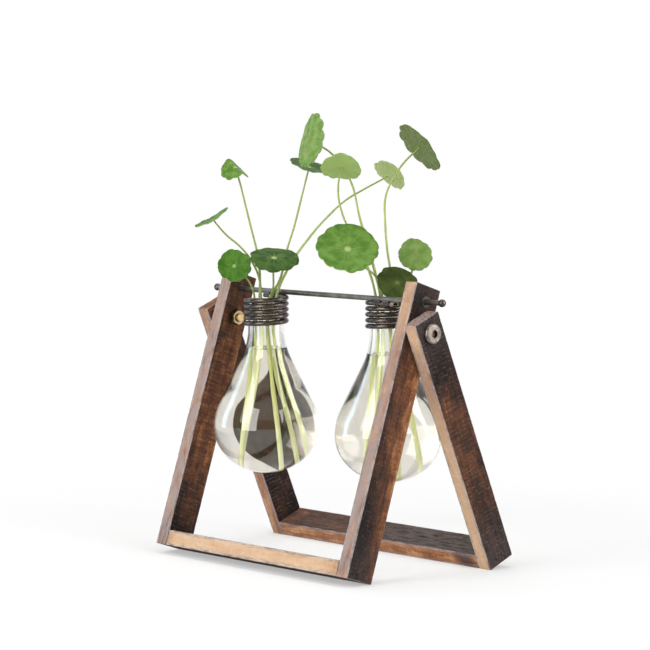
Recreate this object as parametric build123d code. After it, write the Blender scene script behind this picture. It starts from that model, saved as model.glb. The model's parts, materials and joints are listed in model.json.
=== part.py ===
from build123d import *

import math
import os

# Propagation vase: two glass bulbs hung from a rod across a folding wooden trestle.
# Millimetres. X runs along the rod with +X to the right, Y towards the rear frame, Z up.
# The origin is on the floor, straight below the middle of the pivot line.

# Trestle boards
BOARD_THICK = 9.0
BOARD_WIDTH = 19.0
INNER_WIDTH = 147.0
FRONT_LEAN = 18.25
FRONT_BELOW = 140.0
FRONT_ABOVE = 26.5
REAR_BELOW = 143.5
REAR_ABOVE = 9.2
STANDING_PLANE_CUT = 0.4

# Brads at the four bottom corners
NAIL_SHANK = 1.4
NAIL_HEAD = 2.4
NAIL_HEAD_DEPTH = 0.8
NAIL_LENGTH = 22.0
NAIL_SPACING = 5.0

# Pivot bolts, washers and nuts
BOLT_DIAMETER = 5.0
BOLT_CLEARANCE = 0.08
BOLT_HEAD_DIAMETER = 11.6
BOLT_HEAD_HEIGHT = 2.6
BOLT_HEAD_ROUND = 1.5
SOCKET_ACROSS_FLATS = 4.0
SOCKET_DEPTH = 1.7
BOLT_TIP = 1.4
WASHER_DIAMETER = 11.0
WASHER_THICK = 1.5
NUT_ACROSS_FLATS = 8.0
NUT_HEIGHT = 4.0

# Rod, its bushes and end balls
ROD_DIAMETER = 3.0
ROD_ABOVE_PIVOT = 17.5
ROD_OVERHANG = 13.5
ROD_RUNNING_CLEARANCE = 0.06
BUSH_WALL = 0.8
BUSH_FLANGE_DIAMETER = 6.4
BUSH_FLANGE_THICK = 0.6
BALL_DIAMETER = 4.4
BALL_SOCKET_DEPTH = 2.6

# Wire coils
WIRE_DIAMETER = 2.3
COIL_PITCH = 3.3
COIL_TURNS = 4.75
COIL_NECK_CLEARANCE = 0.25
COIL_LEAD = 15.0
WELD_DIAMETER = 1.8
WELD_LENGTH = 5.0
WELD_STEP = 7.0

# Glass bulbs. The free width beside a bulb is shared between the middle of the rod and the leg.
LEFT_MIDDLE_SHARE = 0.57
RIGHT_MIDDLE_SHARE = 0.79
NECK_RADIUS = 10.4
NECK_LENGTH = 14.7
GLASS_WALL = 1.5
BULB_RADIUS = 30.4
BULB_HEIGHT = 99.7
BOTTOM_FLATTENING = 3.7
SHOULDER_FULLNESS = 1.375
NECK_BEND_SHARE = 0.57
RIM_BELOW_LEAD = 2.5
RIM_ROUND = 0.6
THREAD_BEAD = 0.6
THREAD_TURNS = 2.0

# Cuttings
STEM_RADIUS = 1.0
STEM_FOOT_GAP = 0.3
STEM_NECK_DEPTH = 33.0
LEAF_THICK = 1.0
LEAF_RIM_THICK = 0.5
LEAF_DISH = 1.4
LEAF_MIDDLE = 4.0

# Places that follow from the sizes above
front_angle = math.radians(FRONT_LEAN)
half_width = BOARD_WIDTH / 2
PIVOT_Z = FRONT_BELOW * math.cos(front_angle) + half_width * math.sin(front_angle) - STANDING_PLANE_CUT
rear_corner = math.hypot(REAR_BELOW, half_width)
rear_angle = math.atan2(half_width, REAR_BELOW) + math.acos((PIVOT_Z + STANDING_PLANE_CUT) / rear_corner)
REAR_LEAN = math.degrees(rear_angle)

FRONT_IN = INNER_WIDTH / 2
FRONT_OUT = FRONT_IN + BOARD_THICK
REAR_IN = FRONT_OUT + WASHER_THICK
REAR_OUT = REAR_IN + BOARD_THICK

ROD_END = FRONT_OUT + ROD_OVERHANG
ROD_Y = ROD_ABOVE_PIVOT * math.sin(front_angle)
ROD_Z = PIVOT_Z + ROD_ABOVE_PIVOT * math.cos(front_angle)

coil_radius = NECK_RADIUS + COIL_NECK_CLEARANCE + WIRE_DIAMETER / 2
LEAD_Z = ROD_Z - (ROD_DIAMETER + WIRE_DIAMETER) / 2
RIM_Z = LEAD_Z - RIM_BELOW_LEAD
BOTTOM_DEPTH = BULB_RADIUS - BOTTOM_FLATTENING
EQUATOR_Z = RIM_Z - BULB_HEIGHT + BOTTOM_DEPTH

# The shoulder is a cone between two bends. A fullness of 1 would leave the straight line from neck to
# belly, and 2 would leave the bends alone, with no cone between them.
shoulder_drop = BULB_RADIUS - NECK_RADIUS
shoulder_height = BULB_HEIGHT - BOTTOM_DEPTH - NECK_LENGTH
shoulder_angle = SHOULDER_FULLNESS * math.atan2(shoulder_drop, shoulder_height)
spare_height = shoulder_height * math.sin(shoulder_angle) - shoulder_drop * math.cos(shoulder_angle)
both_bends = spare_height / (1 - math.cos(shoulder_angle))
NECK_BEND = both_bends * NECK_BEND_SHARE
BELLY_BEND = both_bends - NECK_BEND

# The left bulb hangs in front of the rod and the right one behind it, which balances the hanger.
free_width = FRONT_IN - 2 * BULB_RADIUS
left_x = -BULB_RADIUS - free_width * LEFT_MIDDLE_SHARE
right_x = BULB_RADIUS + free_width * RIGHT_MIDDLE_SHARE
MOUTH = {
    "left": Vector(left_x, ROD_Y - coil_radius, RIM_Z),
    "right": Vector(right_x, ROD_Y + coil_radius, RIM_Z),
}

# Each cutting: its place in the neck, its foot, the stem above the mouth, then the leaf's
# centre, facing direction and radius. All are measured from the centre of its vase's mouth.
CUTTINGS = {
    "cutting_left_1": {
        "neck": (-3.2, -1.2), "foot": (-12, -5),
        "stem": [(-5, -1, 13), (-9, -4, 24), (-13, -8, 31), (-19, -15, 39)],
        "leaf": (-23.2, -20.2, 46.8), "facing": (-0.27, -0.42, 0.87), "radius": 11.5,
    },
    "cutting_left_2": {
        "neck": (-6.2, 0.4), "foot": (-15, -1.5),
        "stem": [(-8, 2, 16), (-10, 2, 27), (-12, -1, 42), (-15, -3, 56), (-16, -6, 68)],
        "leaf": (-18, -8, 77), "facing": (0.39, -0.22, 0.89), "radius": 10.0,
    },
    "cutting_left_3": {
        "neck": (-5.4, -4.2), "foot": (-9.5, -7),
        "stem": [(-5, -5.5, 6), (-5.5, -9.5, 13)],
        "leaf": (-10.3, -15.4, 20.5), "facing": (0.70, -0.63, 0.32), "radius": 9.8,
    },
    "cutting_left_4": {
        "neck": (-0.4, 2.2), "foot": (3, 7),
        "stem": [(1, 4, 6), (3, 3, 17)],
        "leaf": (6, 1, 25), "facing": (0.35, -0.25, 0.90), "radius": 14.5,
    },
    "cutting_left_5": {
        "neck": (-2.4, 5.5), "foot": (4, 15),
        "stem": [(0, 11, 13), (0, 16, 29), (2, 20, 43), (4, 23, 57)],
        "leaf": (7, 27, 77), "facing": (0.34, 0.04, 0.94), "radius": 12.0,
    },
    "cutting_left_6": {
        "neck": (1.4, 6.3), "foot": (10, 17),
        "stem": [(4, 13, 18), (8, 27, 37), (14, 36, 49), (20, 44, 58), (27, 51, 64)],
        "leaf": (37, 61.8, 71.8), "facing": (0.04, 0.75, 0.66), "radius": 11.0,
    },
    "cutting_right_1": {
        "neck": (-6.2, 0.4), "foot": (-12, 2.5),
        "stem": [(-13, 0, 24), (-20, -3, 48), (-29.5, -3, 72), (-36, -11, 86)],
        "leaf": (-40.4, -23, 93), "facing": (-0.29, -0.92, 0.23), "radius": 15.5,
    },
    "cutting_right_2": {
        "neck": (-6.0, -3.4), "foot": (-10.2, -4.2),
        "stem": [(-13, -4, 22), (-19.5, -11, 41), (-23, -15, 54), (-24.5, -16, 65)],
        "leaf": (-24.4, -14, 78.5), "facing": (-0.39, 0.48, 0.79), "radius": 12.0,
    },
    "cutting_right_3": {
        "neck": (-3.2, -1.2), "foot": (-7, -4.5),
        "stem": [(-5, -1, 9), (-6.5, -4, 17), (-9.5, -11, 23)],
        "leaf": (-9.8, -22.3, 32.4), "facing": (0.61, -0.42, 0.66), "radius": 17.5,
    },
    "cutting_right_4": {
        "neck": (1.4, 6.3), "foot": (6, 14),
        "stem": [(4.5, 3.5, 8)],
        "leaf": (8, -1, 13.5), "facing": (0.67, -0.33, 0.66), "radius": 12.0,
    },
    "cutting_right_5": {
        "neck": (-2.4, 5.5), "foot": (-7, 12),
        "stem": [(-2, 12, 8), (-2, 19, 16)],
        "leaf": (-1.4, 22, 28), "facing": (0.75, -0.54, 0.37), "radius": 9.8,
    },
    "cutting_right_6": {
        "neck": (-0.4, 2.2), "foot": (-2, 5),
        "stem": [(-1.2, 2.8, 19), (-4, 3, 31), (-7, 4, 48), (-7.5, 5, 62), (-5.5, 9, 72), (-2, 13, 80)],
        "leaf": (3.6, 20, 89), "facing": (0.25, 0.74, 0.59), "radius": 16.5,
    },
}


def along_x(solid, x):
    """Turn a solid built along +Z to point along +X, with its base plane at x."""
    return Pos(x, 0, 0) * Rot(0, 90, 0) * solid


def other_side(solid):
    """The mirrored copy on the left."""
    return mirror(solid, about=Plane.YZ)


def half_turned(solid):
    """The copy turned half round about the vertical line midway between the two mouths."""
    middle = (left_x + right_x) / 2
    return Pos(middle, ROD_Y, 0) * Rot(0, 0, 180) * Pos(-middle, -ROD_Y, 0) * solid


def block(x_range, y_range, z_range):
    """A box between two limits on each axis."""
    sizes = [high - low for low, high in (x_range, y_range, z_range)]
    middle = [(high + low) / 2 for low, high in (x_range, y_range, z_range)]
    return Pos(*middle) * Box(*sizes)


def bar_x(diameter, x_low, x_high, y=0.0, z=0.0):
    """A round bar along X."""
    return Pos((x_low + x_high) / 2, y, z) * Rot(0, 90, 0) * Cylinder(diameter / 2, x_high - x_low)


def stand_up(solid, lean):
    """Lean a frame's piece about the pivot and plane off what would reach below the floor."""
    placed = Pos(0, 0, PIVOT_Z) * Rot(lean, 0, 0) * solid
    reach = 2 * (REAR_OUT + FRONT_BELOW + REAR_BELOW)
    return placed - block((-reach, reach), (-reach, reach), (-reach, 0))


def nails(x_out, below):
    """The two brads of one bottom corner, heads flush with the leg's outer face."""
    height = -below + BOARD_THICK / 2
    made = []
    for side in (-1, 1):
        y = side * NAIL_SPACING / 2
        shank = bar_x(NAIL_SHANK, x_out - NAIL_LENGTH, x_out, y, height)
        head = bar_x(NAIL_HEAD, x_out - NAIL_HEAD_DEPTH, x_out, y, height)
        made.append(shank + head)
    return made


def drilled_leg(x_in, x_out, below, above):
    """A leg board in the pivot's frame, bored for its bolt and brads."""
    board = block((x_in, x_out), (-half_width, half_width), (-below, above))
    board -= bar_x(BOLT_DIAMETER + 2 * BOLT_CLEARANCE, x_in - 1, x_out + 1)
    for nail in nails(x_out, below):
        board -= nail
    return board


def crossbar(x_in, x_out, below):
    """The board between the feet of a frame's legs, in the pivot's frame."""
    board = block((-x_in, x_in), (-half_width, half_width), (-below, -below + BOARD_THICK))
    for nail in nails(x_out, below):
        board -= nail
        board -= other_side(nail)
    return board


def front_leg():
    bush_diameter = ROD_DIAMETER + 2 * (ROD_RUNNING_CLEARANCE + BUSH_WALL)
    bush = bar_x(bush_diameter, FRONT_IN - 1, FRONT_OUT + 1, 0, ROD_ABOVE_PIVOT)
    return drilled_leg(FRONT_IN, FRONT_OUT, FRONT_BELOW, FRONT_ABOVE) - bush


def nail_group(x_out, below, lean):
    """All four brads of a frame, as separate solids."""
    right = nails(x_out, below)
    both = right + [other_side(nail) for nail in right]
    return Compound(children=[stand_up(nail, lean) for nail in both])


def pivot_bolt():
    """Round-head bolt with a hexagon socket, its shank through both legs and the nut."""
    shank_length = REAR_OUT - FRONT_IN + NUT_HEIGHT + BOLT_TIP
    head = Pos(0, 0, BOLT_HEAD_HEIGHT / 2) * Cylinder(BOLT_HEAD_DIAMETER / 2, BOLT_HEAD_HEIGHT)
    head = fillet(head.edges().filter_by(GeomType.CIRCLE).sort_by(Axis.Z)[-1], BOLT_HEAD_ROUND)
    key = RegularPolygon(SOCKET_ACROSS_FLATS / 2, 6, major_radius=False)
    head -= Pos(0, 0, BOLT_HEAD_HEIGHT - SOCKET_DEPTH) * extrude(key, SOCKET_DEPTH)
    shank = Pos(0, 0, -shank_length / 2) * Cylinder(BOLT_DIAMETER / 2, shank_length)
    shank = chamfer(shank.edges().filter_by(GeomType.CIRCLE).sort_by(Axis.Z)[0], BOLT_DIAMETER / 10)
    return Pos(0, 0, PIVOT_Z) * along_x(head + shank, REAR_OUT)


def pivot_washer():
    ring = Cylinder(WASHER_DIAMETER / 2, WASHER_THICK)
    ring -= Cylinder(BOLT_DIAMETER / 2 + BOLT_CLEARANCE, WASHER_THICK)
    return Pos(0, 0, PIVOT_Z) * along_x(ring, FRONT_OUT + WASHER_THICK / 2)


def pivot_nut():
    """Hexagon nut against the inner face of the front leg, its corners turned round."""
    hexagon = extrude(RegularPolygon(NUT_ACROSS_FLATS / 2, 6, major_radius=False), NUT_HEIGHT)
    corner = NUT_ACROSS_FLATS / math.sqrt(3)
    round_off = Pos(0, 0, NUT_HEIGHT / 2) * Cylinder(corner, NUT_HEIGHT)
    ends = round_off.edges().filter_by(GeomType.CIRCLE)
    round_off = chamfer(ends, NUT_HEIGHT / 8, corner - NUT_ACROSS_FLATS / 2)
    nut = hexagon & round_off
    nut -= Pos(0, 0, NUT_HEIGHT / 2) * Cylinder(BOLT_DIAMETER / 2, NUT_HEIGHT)
    return Pos(0, 0, PIVOT_Z) * along_x(nut, FRONT_IN - NUT_HEIGHT)


def rod_bush():
    """Flanged eyelet that lines the rod's hole in a front leg."""
    bore = ROD_DIAMETER / 2 + ROD_RUNNING_CLEARANCE
    barrel = Pos(0, 0, -BOARD_THICK / 2) * Cylinder(bore + BUSH_WALL, BOARD_THICK)
    flange = Pos(0, 0, BUSH_FLANGE_THICK / 2) * Cylinder(BUSH_FLANGE_DIAMETER / 2, BUSH_FLANGE_THICK)
    eyelet = barrel + flange
    eyelet -= Cylinder(bore, 4 * BOARD_THICK)
    return Pos(0, ROD_Y, ROD_Z) * along_x(eyelet, FRONT_OUT)


def hanger_rod():
    return bar_x(ROD_DIAMETER, -ROD_END, ROD_END, ROD_Y, ROD_Z)


def rod_ball(end, turn):
    """Ball pressed on one end of the rod, turned to face outwards."""
    ball = Pos(BALL_DIAMETER / 2 - BALL_SOCKET_DEPTH, 0, 0) * Sphere(BALL_DIAMETER / 2)
    ball -= bar_x(ROD_DIAMETER, -BALL_DIAMETER, 0)
    return Pos(end, ROD_Y, ROD_Z) * Rot(0, 0, turn) * ball


def spiral(radius, top, turn):
    """A point and direction on the left vase's right-handed spiral, going down from the rod."""
    centre = MOUTH["left"]
    angle = math.pi / 2 - 2 * math.pi * turn
    height = top - COIL_PITCH * turn
    point = Vector(centre.X + radius * math.cos(angle), centre.Y + radius * math.sin(angle), height)
    drop = -COIL_PITCH / (2 * math.pi * radius)
    direction = Vector(math.sin(angle), -math.cos(angle), drop).normalized()
    return point, direction


def tangent_arc(start, direction, end):
    """The arc from one point to another that leaves along a direction."""
    chord = end - start
    aim = chord.normalized()
    bend = math.acos(max(-1.0, min(1.0, direction.dot(aim))))
    if bend < 1e-4:
        return Line(start, end)
    halfway = start + (direction + aim).normalized() * (chord.length / (2 * math.cos(bend / 2)))
    return ThreePointArc(start, halfway, end)


def biarc(start, start_direction, end, end_direction):
    """Two arcs, smooth where they meet, that join two points along their directions."""
    chord = end - start
    both = start_direction + end_direction
    turned = 2 * (1 - start_direction.dot(end_direction))
    along = chord.dot(both)
    reach = chord.dot(chord) / (along + math.sqrt(along * along + turned * chord.dot(chord)))
    first_corner = start + start_direction * reach
    second_corner = end - end_direction * reach
    joint = (first_corner + second_corner) * 0.5
    joint_direction = (second_corner - first_corner).normalized()
    return [tangent_arc(start, start_direction, joint), tangent_arc(joint, joint_direction, end)]


def spiral_edges(radius, top, first_turn, turns, level_start=False):
    """Quarter turns of a spiral, each a biarc. A level start leaves along X."""
    quarters = round(4 * turns)
    edges = []
    for step in range(quarters):
        start, start_direction = spiral(radius, top, first_turn + step / 4)
        end, end_direction = spiral(radius, top, first_turn + (step + 1) / 4)
        if level_start and step == 0:
            start_direction = Vector(1, 0, 0)
        edges += biarc(start, start_direction, end, end_direction)
    return edges


def least_self_gap(edges, diameter):
    """The smallest clear space between points of a tube that lie over half a turn apart along it."""
    steps = 6
    points = []
    travelled = 0.0
    for edge in edges:
        for step in range(steps):
            place = edge @ (step / steps)
            points.append((travelled + edge.length * step / steps, place.X, place.Y, place.Z))
        travelled += edge.length
    least = travelled
    for i, (here, *place) in enumerate(points):
        for there, *other in points[i + 1:]:
            if there - here > math.pi * coil_radius:
                least = min(least, math.dist(place, other))
    return least - diameter


def wire_coil():
    """The left coil: a straight lead under the rod, the turns, and a short straight end."""
    start, _ = spiral(coil_radius, LEAD_Z, 0)
    end, end_direction = spiral(coil_radius, LEAD_Z, COIL_TURNS)
    lead_start = start - Vector(COIL_LEAD, 0, 0)
    edges = [Line(lead_start, start)]
    edges += spiral_edges(coil_radius, LEAD_Z, 0, COIL_TURNS, level_start=True)
    edges.append(Line(end, end + end_direction * WIRE_DIAMETER))
    print("least gap between coil turns, mm:", round(least_self_gap(edges, WIRE_DIAMETER), 2))
    section = Plane(origin=lead_start, z_dir=(1, 0, 0)) * Circle(WIRE_DIAMETER / 2)
    return sweep(section, path=Wire(edges))


def weld_beads(rod, coil):
    """Short beads in the creases between the left lead and the rod, on both sides."""
    touch_z = ROD_Z - ROD_DIAMETER / 2
    lead_end = MOUTH["left"].X - COIL_LEAD
    beads = []
    for side in (-1, 1):
        for step in range(2):
            x_low = lead_end + 1 + step * WELD_STEP
            y = ROD_Y + side * WELD_DIAMETER / 2
            bead = bar_x(WELD_DIAMETER, x_low, x_low + WELD_LENGTH, y, touch_z)
            bead = fillet(bead.edges().filter_by(GeomType.CIRCLE), WELD_DIAMETER / 4)
            beads.append(bead - rod - coil)
    return beads


def bulb_face(inset, top):
    """The half section inside one outline of the bulb, up to a height."""
    neck = NECK_RADIUS - inset
    belly = BULB_RADIUS - inset
    depth = BOTTOM_DEPTH - inset
    slope = math.tan(shoulder_angle / 2)
    neck_run = (NECK_BEND + inset) * slope
    belly_run = (BELLY_BEND - inset) * slope
    belly_corner = EQUATOR_Z + belly_run
    neck_corner = belly_corner + shoulder_drop / math.tan(shoulder_angle)
    cone = (math.sin(shoulder_angle), -math.cos(shoulder_angle))
    neck_end = (neck, neck_corner + neck_run)
    cone_top = (neck + cone[0] * neck_run, neck_corner + cone[1] * neck_run)
    cone_low = (belly - cone[0] * belly_run, belly_corner - cone[1] * belly_run)
    equator = (belly, EQUATOR_Z)
    lowest = (0, EQUATOR_Z - depth)
    outline = [
        Line((0, top), (neck, top)),
        Line((neck, top), neck_end),
        TangentArc(neck_end, cone_top, tangent=(0, -1)),
        Line(cone_top, cone_low),
        TangentArc(cone_low, equator, tangent=cone),
        EllipticalCenterArc((0, EQUATOR_Z), belly, depth, start_angle=-90, arc_size=90),
        Line(lowest, (0, top)),
    ]
    return make_face(Plane.XZ * Wire(outline))


def glass_bulb():
    """The left bulb: blown wall, rounded rim and a thread bead that runs between the coil's turns."""
    outside = revolve(bulb_face(0, RIM_Z), Axis.Z)
    inside = revolve(bulb_face(GLASS_WALL, RIM_Z + 1), Axis.Z)
    shell = outside - inside
    rim = shell.edges().filter_by(GeomType.CIRCLE).group_by(Axis.Z)[-1]
    shell = fillet(rim, RIM_ROUND)
    centre = MOUTH["left"]
    shell = Pos(centre.X, centre.Y, 0) * shell
    bead_top = LEAD_Z - COIL_PITCH / 2
    edges = spiral_edges(NECK_RADIUS, bead_top, 1, THREAD_TURNS)
    start, direction = spiral(NECK_RADIUS, bead_top, 1)
    section = Plane(origin=start, z_dir=direction) * Circle(THREAD_BEAD)
    bead = sweep(section, path=Wire(edges))
    bead -= Pos(centre.X, centre.Y, RIM_Z) * Cylinder(NECK_RADIUS - GLASS_WALL / 2, 2 * BULB_HEIGHT)
    return shell + bead


def bulb_floor(radius):
    """Height of the glass inside the bulb's round bottom, at a radius from its axis."""
    belly = BULB_RADIUS - GLASS_WALL
    depth = BOTTOM_DEPTH - GLASS_WALL
    return EQUATOR_Z - depth * math.sqrt(1 - (radius / belly) ** 2)


def leaf(centre, facing, radius):
    """A round leaf with a flat middle and a rising rim, its underside at the centre."""
    outline = Polyline(
        (0, 0),
        (LEAF_MIDDLE, 0),
        (radius, LEAF_DISH),
        (radius, LEAF_DISH + LEAF_RIM_THICK),
        (LEAF_MIDDLE, LEAF_THICK),
        (0, LEAF_THICK),
        close=True,
    )
    dish = revolve(make_face(Plane.XZ * outline), Axis.Z)
    return Plane(origin=centre, z_dir=facing) * dish


def smooth_route(points):
    """Biarcs through a stem's points, each passed along the line between its neighbours."""
    last = len(points) - 1
    directions = []
    for i in range(len(points)):
        before = points[max(i - 1, 0)]
        after = points[min(i + 1, last)]
        directions.append((after - before).normalized())
    edges = []
    for i in range(last):
        edges += biarc(points[i], directions[i], points[i + 1], directions[i + 1])
    return edges


def cutting(side, plan):
    """One cutting: a stem from the bulb's floor through the neck, and its leaf."""
    mouth = MOUTH[side]
    foot_x, foot_y = plan["foot"]
    foot_radius = math.hypot(foot_x, foot_y) + STEM_RADIUS
    foot = Vector(foot_x, foot_y, bulb_floor(foot_radius) + STEM_FOOT_GAP - RIM_Z)
    neck_low = Vector(*plan["neck"], -STEM_NECK_DEPTH)
    neck_high = Vector(*plan["neck"], 1)
    facing = Vector(*plan["facing"]).normalized()
    centre = Vector(*plan["leaf"])
    top = centre + facing * (LEAF_THICK / 2)
    route = [foot, neck_low, neck_high] + [Vector(*point) for point in plan["stem"]] + [top]
    edges = smooth_route([mouth + point for point in route])
    section = Plane(origin=edges[0] @ 0, z_dir=edges[0] % 0) * Circle(STEM_RADIUS)
    stem = sweep(section, path=Wire(edges))
    return stem + leaf(mouth + centre, facing, plan["radius"])


def build():
    """Every node's shape by name."""
    front = -FRONT_LEAN
    rear = REAR_LEAN
    nodes = {}

    def pair(name, right):
        nodes[name + "_right"] = right
        nodes[name + "_left"] = other_side(right)

    pair("front_leg", stand_up(front_leg(), front))
    nodes["front_crossbar"] = stand_up(crossbar(FRONT_IN, FRONT_OUT, FRONT_BELOW), front)
    nodes["front_nails"] = nail_group(FRONT_OUT, FRONT_BELOW, front)
    pair("rear_leg", stand_up(drilled_leg(REAR_IN, REAR_OUT, REAR_BELOW, REAR_ABOVE), rear))
    nodes["rear_crossbar"] = stand_up(crossbar(REAR_IN, REAR_OUT, REAR_BELOW), rear)
    nodes["rear_nails"] = nail_group(REAR_OUT, REAR_BELOW, rear)
    pair("pivot_bolt", pivot_bolt())
    pair("pivot_washer", pivot_washer())
    pair("pivot_nut", pivot_nut())
    pair("rod_bush", rod_bush())

    rod = hanger_rod()
    nodes["hanger_rod"] = rod
    nodes["rod_ball_left"] = rod_ball(-ROD_END, 180)
    nodes["rod_ball_right"] = rod_ball(ROD_END, 0)
    coil = wire_coil()
    nodes["wire_coil_left"] = coil
    nodes["wire_coil_right"] = half_turned(coil)
    beads = weld_beads(rod, coil)
    nodes["hanger_welds"] = Compound(children=beads + [half_turned(bead) for bead in beads])

    bulb = glass_bulb()
    nodes["glass_bulb_left"] = bulb
    nodes["glass_bulb_right"] = half_turned(bulb)
    for name, plan in CUTTINGS.items():
        nodes[name] = cutting(name.split("_")[1], plan)
    return nodes


os.makedirs("parts", exist_ok=True)
for name, shape in build().items():
    export_step(shape, f"parts/{name}.step")
print("pivot height", round(PIVOT_Z, 2), "rear lean", round(REAR_LEAN, 2))
print("rod", round(ROD_Y, 2), round(ROD_Z, 2))
print("rim", round(RIM_Z, 2), "equator", round(EQUATOR_Z, 2))
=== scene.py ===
import json
import math

import bmesh
import bpy
from mathutils import Matrix, Vector, noise


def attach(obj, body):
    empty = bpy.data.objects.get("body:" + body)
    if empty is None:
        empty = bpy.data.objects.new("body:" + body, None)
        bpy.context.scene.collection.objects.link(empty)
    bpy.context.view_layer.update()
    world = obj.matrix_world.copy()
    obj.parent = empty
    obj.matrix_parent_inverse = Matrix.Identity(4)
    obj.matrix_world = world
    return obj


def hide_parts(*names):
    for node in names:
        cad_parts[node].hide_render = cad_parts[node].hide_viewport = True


# Propagation vase: glass bulbs hung in wire coils from a rod across a folding stand of charred wood.
# Metres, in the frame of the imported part: +X along the rod to the right, +Y to the rear, +Z up.

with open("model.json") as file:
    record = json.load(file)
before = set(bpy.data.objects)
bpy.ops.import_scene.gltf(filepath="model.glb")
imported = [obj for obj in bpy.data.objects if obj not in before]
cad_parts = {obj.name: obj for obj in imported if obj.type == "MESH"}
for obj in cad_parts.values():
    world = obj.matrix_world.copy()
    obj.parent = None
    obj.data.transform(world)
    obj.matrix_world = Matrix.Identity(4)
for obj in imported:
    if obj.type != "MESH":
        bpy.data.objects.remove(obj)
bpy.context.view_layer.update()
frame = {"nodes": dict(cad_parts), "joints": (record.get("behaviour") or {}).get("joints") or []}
scene = bpy.context.scene
MM = 0.001
WHITE = (1.0, 1.0, 1.0, 1.0)

# Distances that count as none
MERGE_DISTANCE = 0.002 * MM
SAME_POINT = 1e-7
IN_LINE = 1e-9

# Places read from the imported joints
joints = {joint["name"]: joint for joint in frame["joints"]}
PIVOT = Vector(joints["stand_fold"]["pos_m"])
ROD = Vector(joints["rod_swivel"]["pos_m"])
SIDES = ("left", "right")
MOUTH = {side: Vector(joints[f"{side}_bulb_turn"]["pos_m"]) for side in SIDES}

# Stand boards
BOARD_THICK = 9.0 * MM
BOARD_WIDTH = 19.0 * MM
FRONT_IN = 73.5 * MM
REAR_IN = 84.0 * MM
FRONT_LEAN = -18.25
REAR_LEAN = 22.84
FRONT_BELOW = 140.0 * MM
FRONT_ABOVE = 26.5 * MM
REAR_BELOW = 143.5 * MM
REAR_ABOVE = 9.2 * MM
ROD_ABOVE_PIVOT = 17.5 * MM
EDGE_EASE = 0.55 * MM
EDGE_LINES = (0.0, 0.3, 0.65, 1.0)
EDGE_CHIP = 0.50 * MM
CHIPS_PER_METRE = 620.0
FINE_CHIPS_PER_METRE = 1700.0
FINE_CHIP_SHARE = 0.6
WORN_WIDTH = 2.4 * MM
WORN_AT_EDGE = 0.7
BOARD_RIPPLE = 0.05 * MM
RIPPLES_PER_METRE = 240.0
BOARD_STEP = 1.4 * MM
BOLT_HOLE = 2.58 * MM
BUSH_HOLE = 2.36 * MM
HOLE_SIDES = 40
BOARD_Y = (-BOARD_WIDTH / 2, BOARD_WIDTH / 2)

# The two frames: how far out their legs begin, how far these go below and above the pivot, their lean in
# degrees and their holes as (height above the pivot, radius)
FRAMES = {
    "front": {
        "inside": FRONT_IN, "below": FRONT_BELOW, "above": FRONT_ABOVE, "lean": FRONT_LEAN,
        "holes": [(0.0, BOLT_HOLE), (ROD_ABOVE_PIVOT, BUSH_HOLE)],
    },
    "rear": {
        "inside": REAR_IN, "below": REAR_BELOW, "above": REAR_ABOVE, "lean": REAR_LEAN,
        "holes": [(0.0, BOLT_HOLE)],
    },
}

# Bolts and washers
TURNING_PITCH = 0.28 * MM
SOCKET_RADIUS = 1.9 * MM
SOCKET_RIM = 2.6 * MM
BOLT_TIP = 1.0 * MM

# Brads
BRAD_HEAD = 1.2 * MM
BRAD_HEAD_DEPTH = 0.8 * MM
BRAD_SHANK = 0.7 * MM
BRAD_LENGTH = 22.0 * MM
BRAD_SPACING = 5.0 * MM
BRAD_PROUD = 0.12 * MM
BRAD_HEAD_SIDES = 24
BRAD_SHANK_SIDES = 16
BRAD_DOME_RINGS = 12
BRAD_DOME_SCALE = (0.97, 0.97, 0.14)

# Wire coils
WIRE_RADIUS = 1.38 * MM
COIL_CENTRE_BELOW_ROD = 2.65 * MM
COIL_RADIUS = 11.8 * MM
COIL_PITCH = 3.3 * MM
COIL_TURNS = 4.78
COIL_LEAD = 15.0 * MM
COIL_STEPS = 330
WIRE_SIDES = 18
LEAD_Z = ROD.z - COIL_CENTRE_BELOW_ROD

# Glass bulbs, measured down from the mouth
NECK_RADIUS = 10.4 * MM
NECK_LENGTH = 14.7 * MM
GLASS_WALL = 1.5 * MM
BULB_RADIUS = 30.4 * MM
BULB_HEIGHT = 99.7 * MM
BOTTOM_FLATTENING = 3.7 * MM
SHOULDER_FULLNESS = 1.375
NECK_BEND_SHARE = 0.57
THREAD_BEAD = 0.6 * MM
THREAD_FIRST_TURN = 1.0
THREAD_LAST_TURN = 3.0
THREAD_FADE_TURNS = 0.12
THREAD_DEPTH = 16.0 * MM
WATER_DEPTH = 27.5 * MM
WATER_INTO_GLASS = 0.3 * MM
MENISCUS = 1.0 * MM
MENISCUS_REACH = 1.2 * MM
NECK_STEP = 0.22 * MM
TURNED_STEPS = 128
BELLY_STEPS = 40
BELLY_BEND_STEPS = 18
NECK_BEND_STEPS = 24
LIP_STEPS = 10
SURFACE_STEPS = 12

BULB_BOTTOM = BULB_RADIUS - BOTTOM_FLATTENING
EQUATOR_DEPTH = BULB_HEIGHT - BULB_BOTTOM
shoulder_drop = BULB_RADIUS - NECK_RADIUS
shoulder_height = EQUATOR_DEPTH - NECK_LENGTH
SHOULDER_ANGLE = SHOULDER_FULLNESS * math.atan2(shoulder_drop, shoulder_height)
spare_height = shoulder_height * math.sin(SHOULDER_ANGLE) - shoulder_drop * math.cos(SHOULDER_ANGLE)
both_bends = spare_height / (1 - math.cos(SHOULDER_ANGLE))
NECK_BEND = both_bends * NECK_BEND_SHARE
BELLY_BEND = both_bends - NECK_BEND

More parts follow.
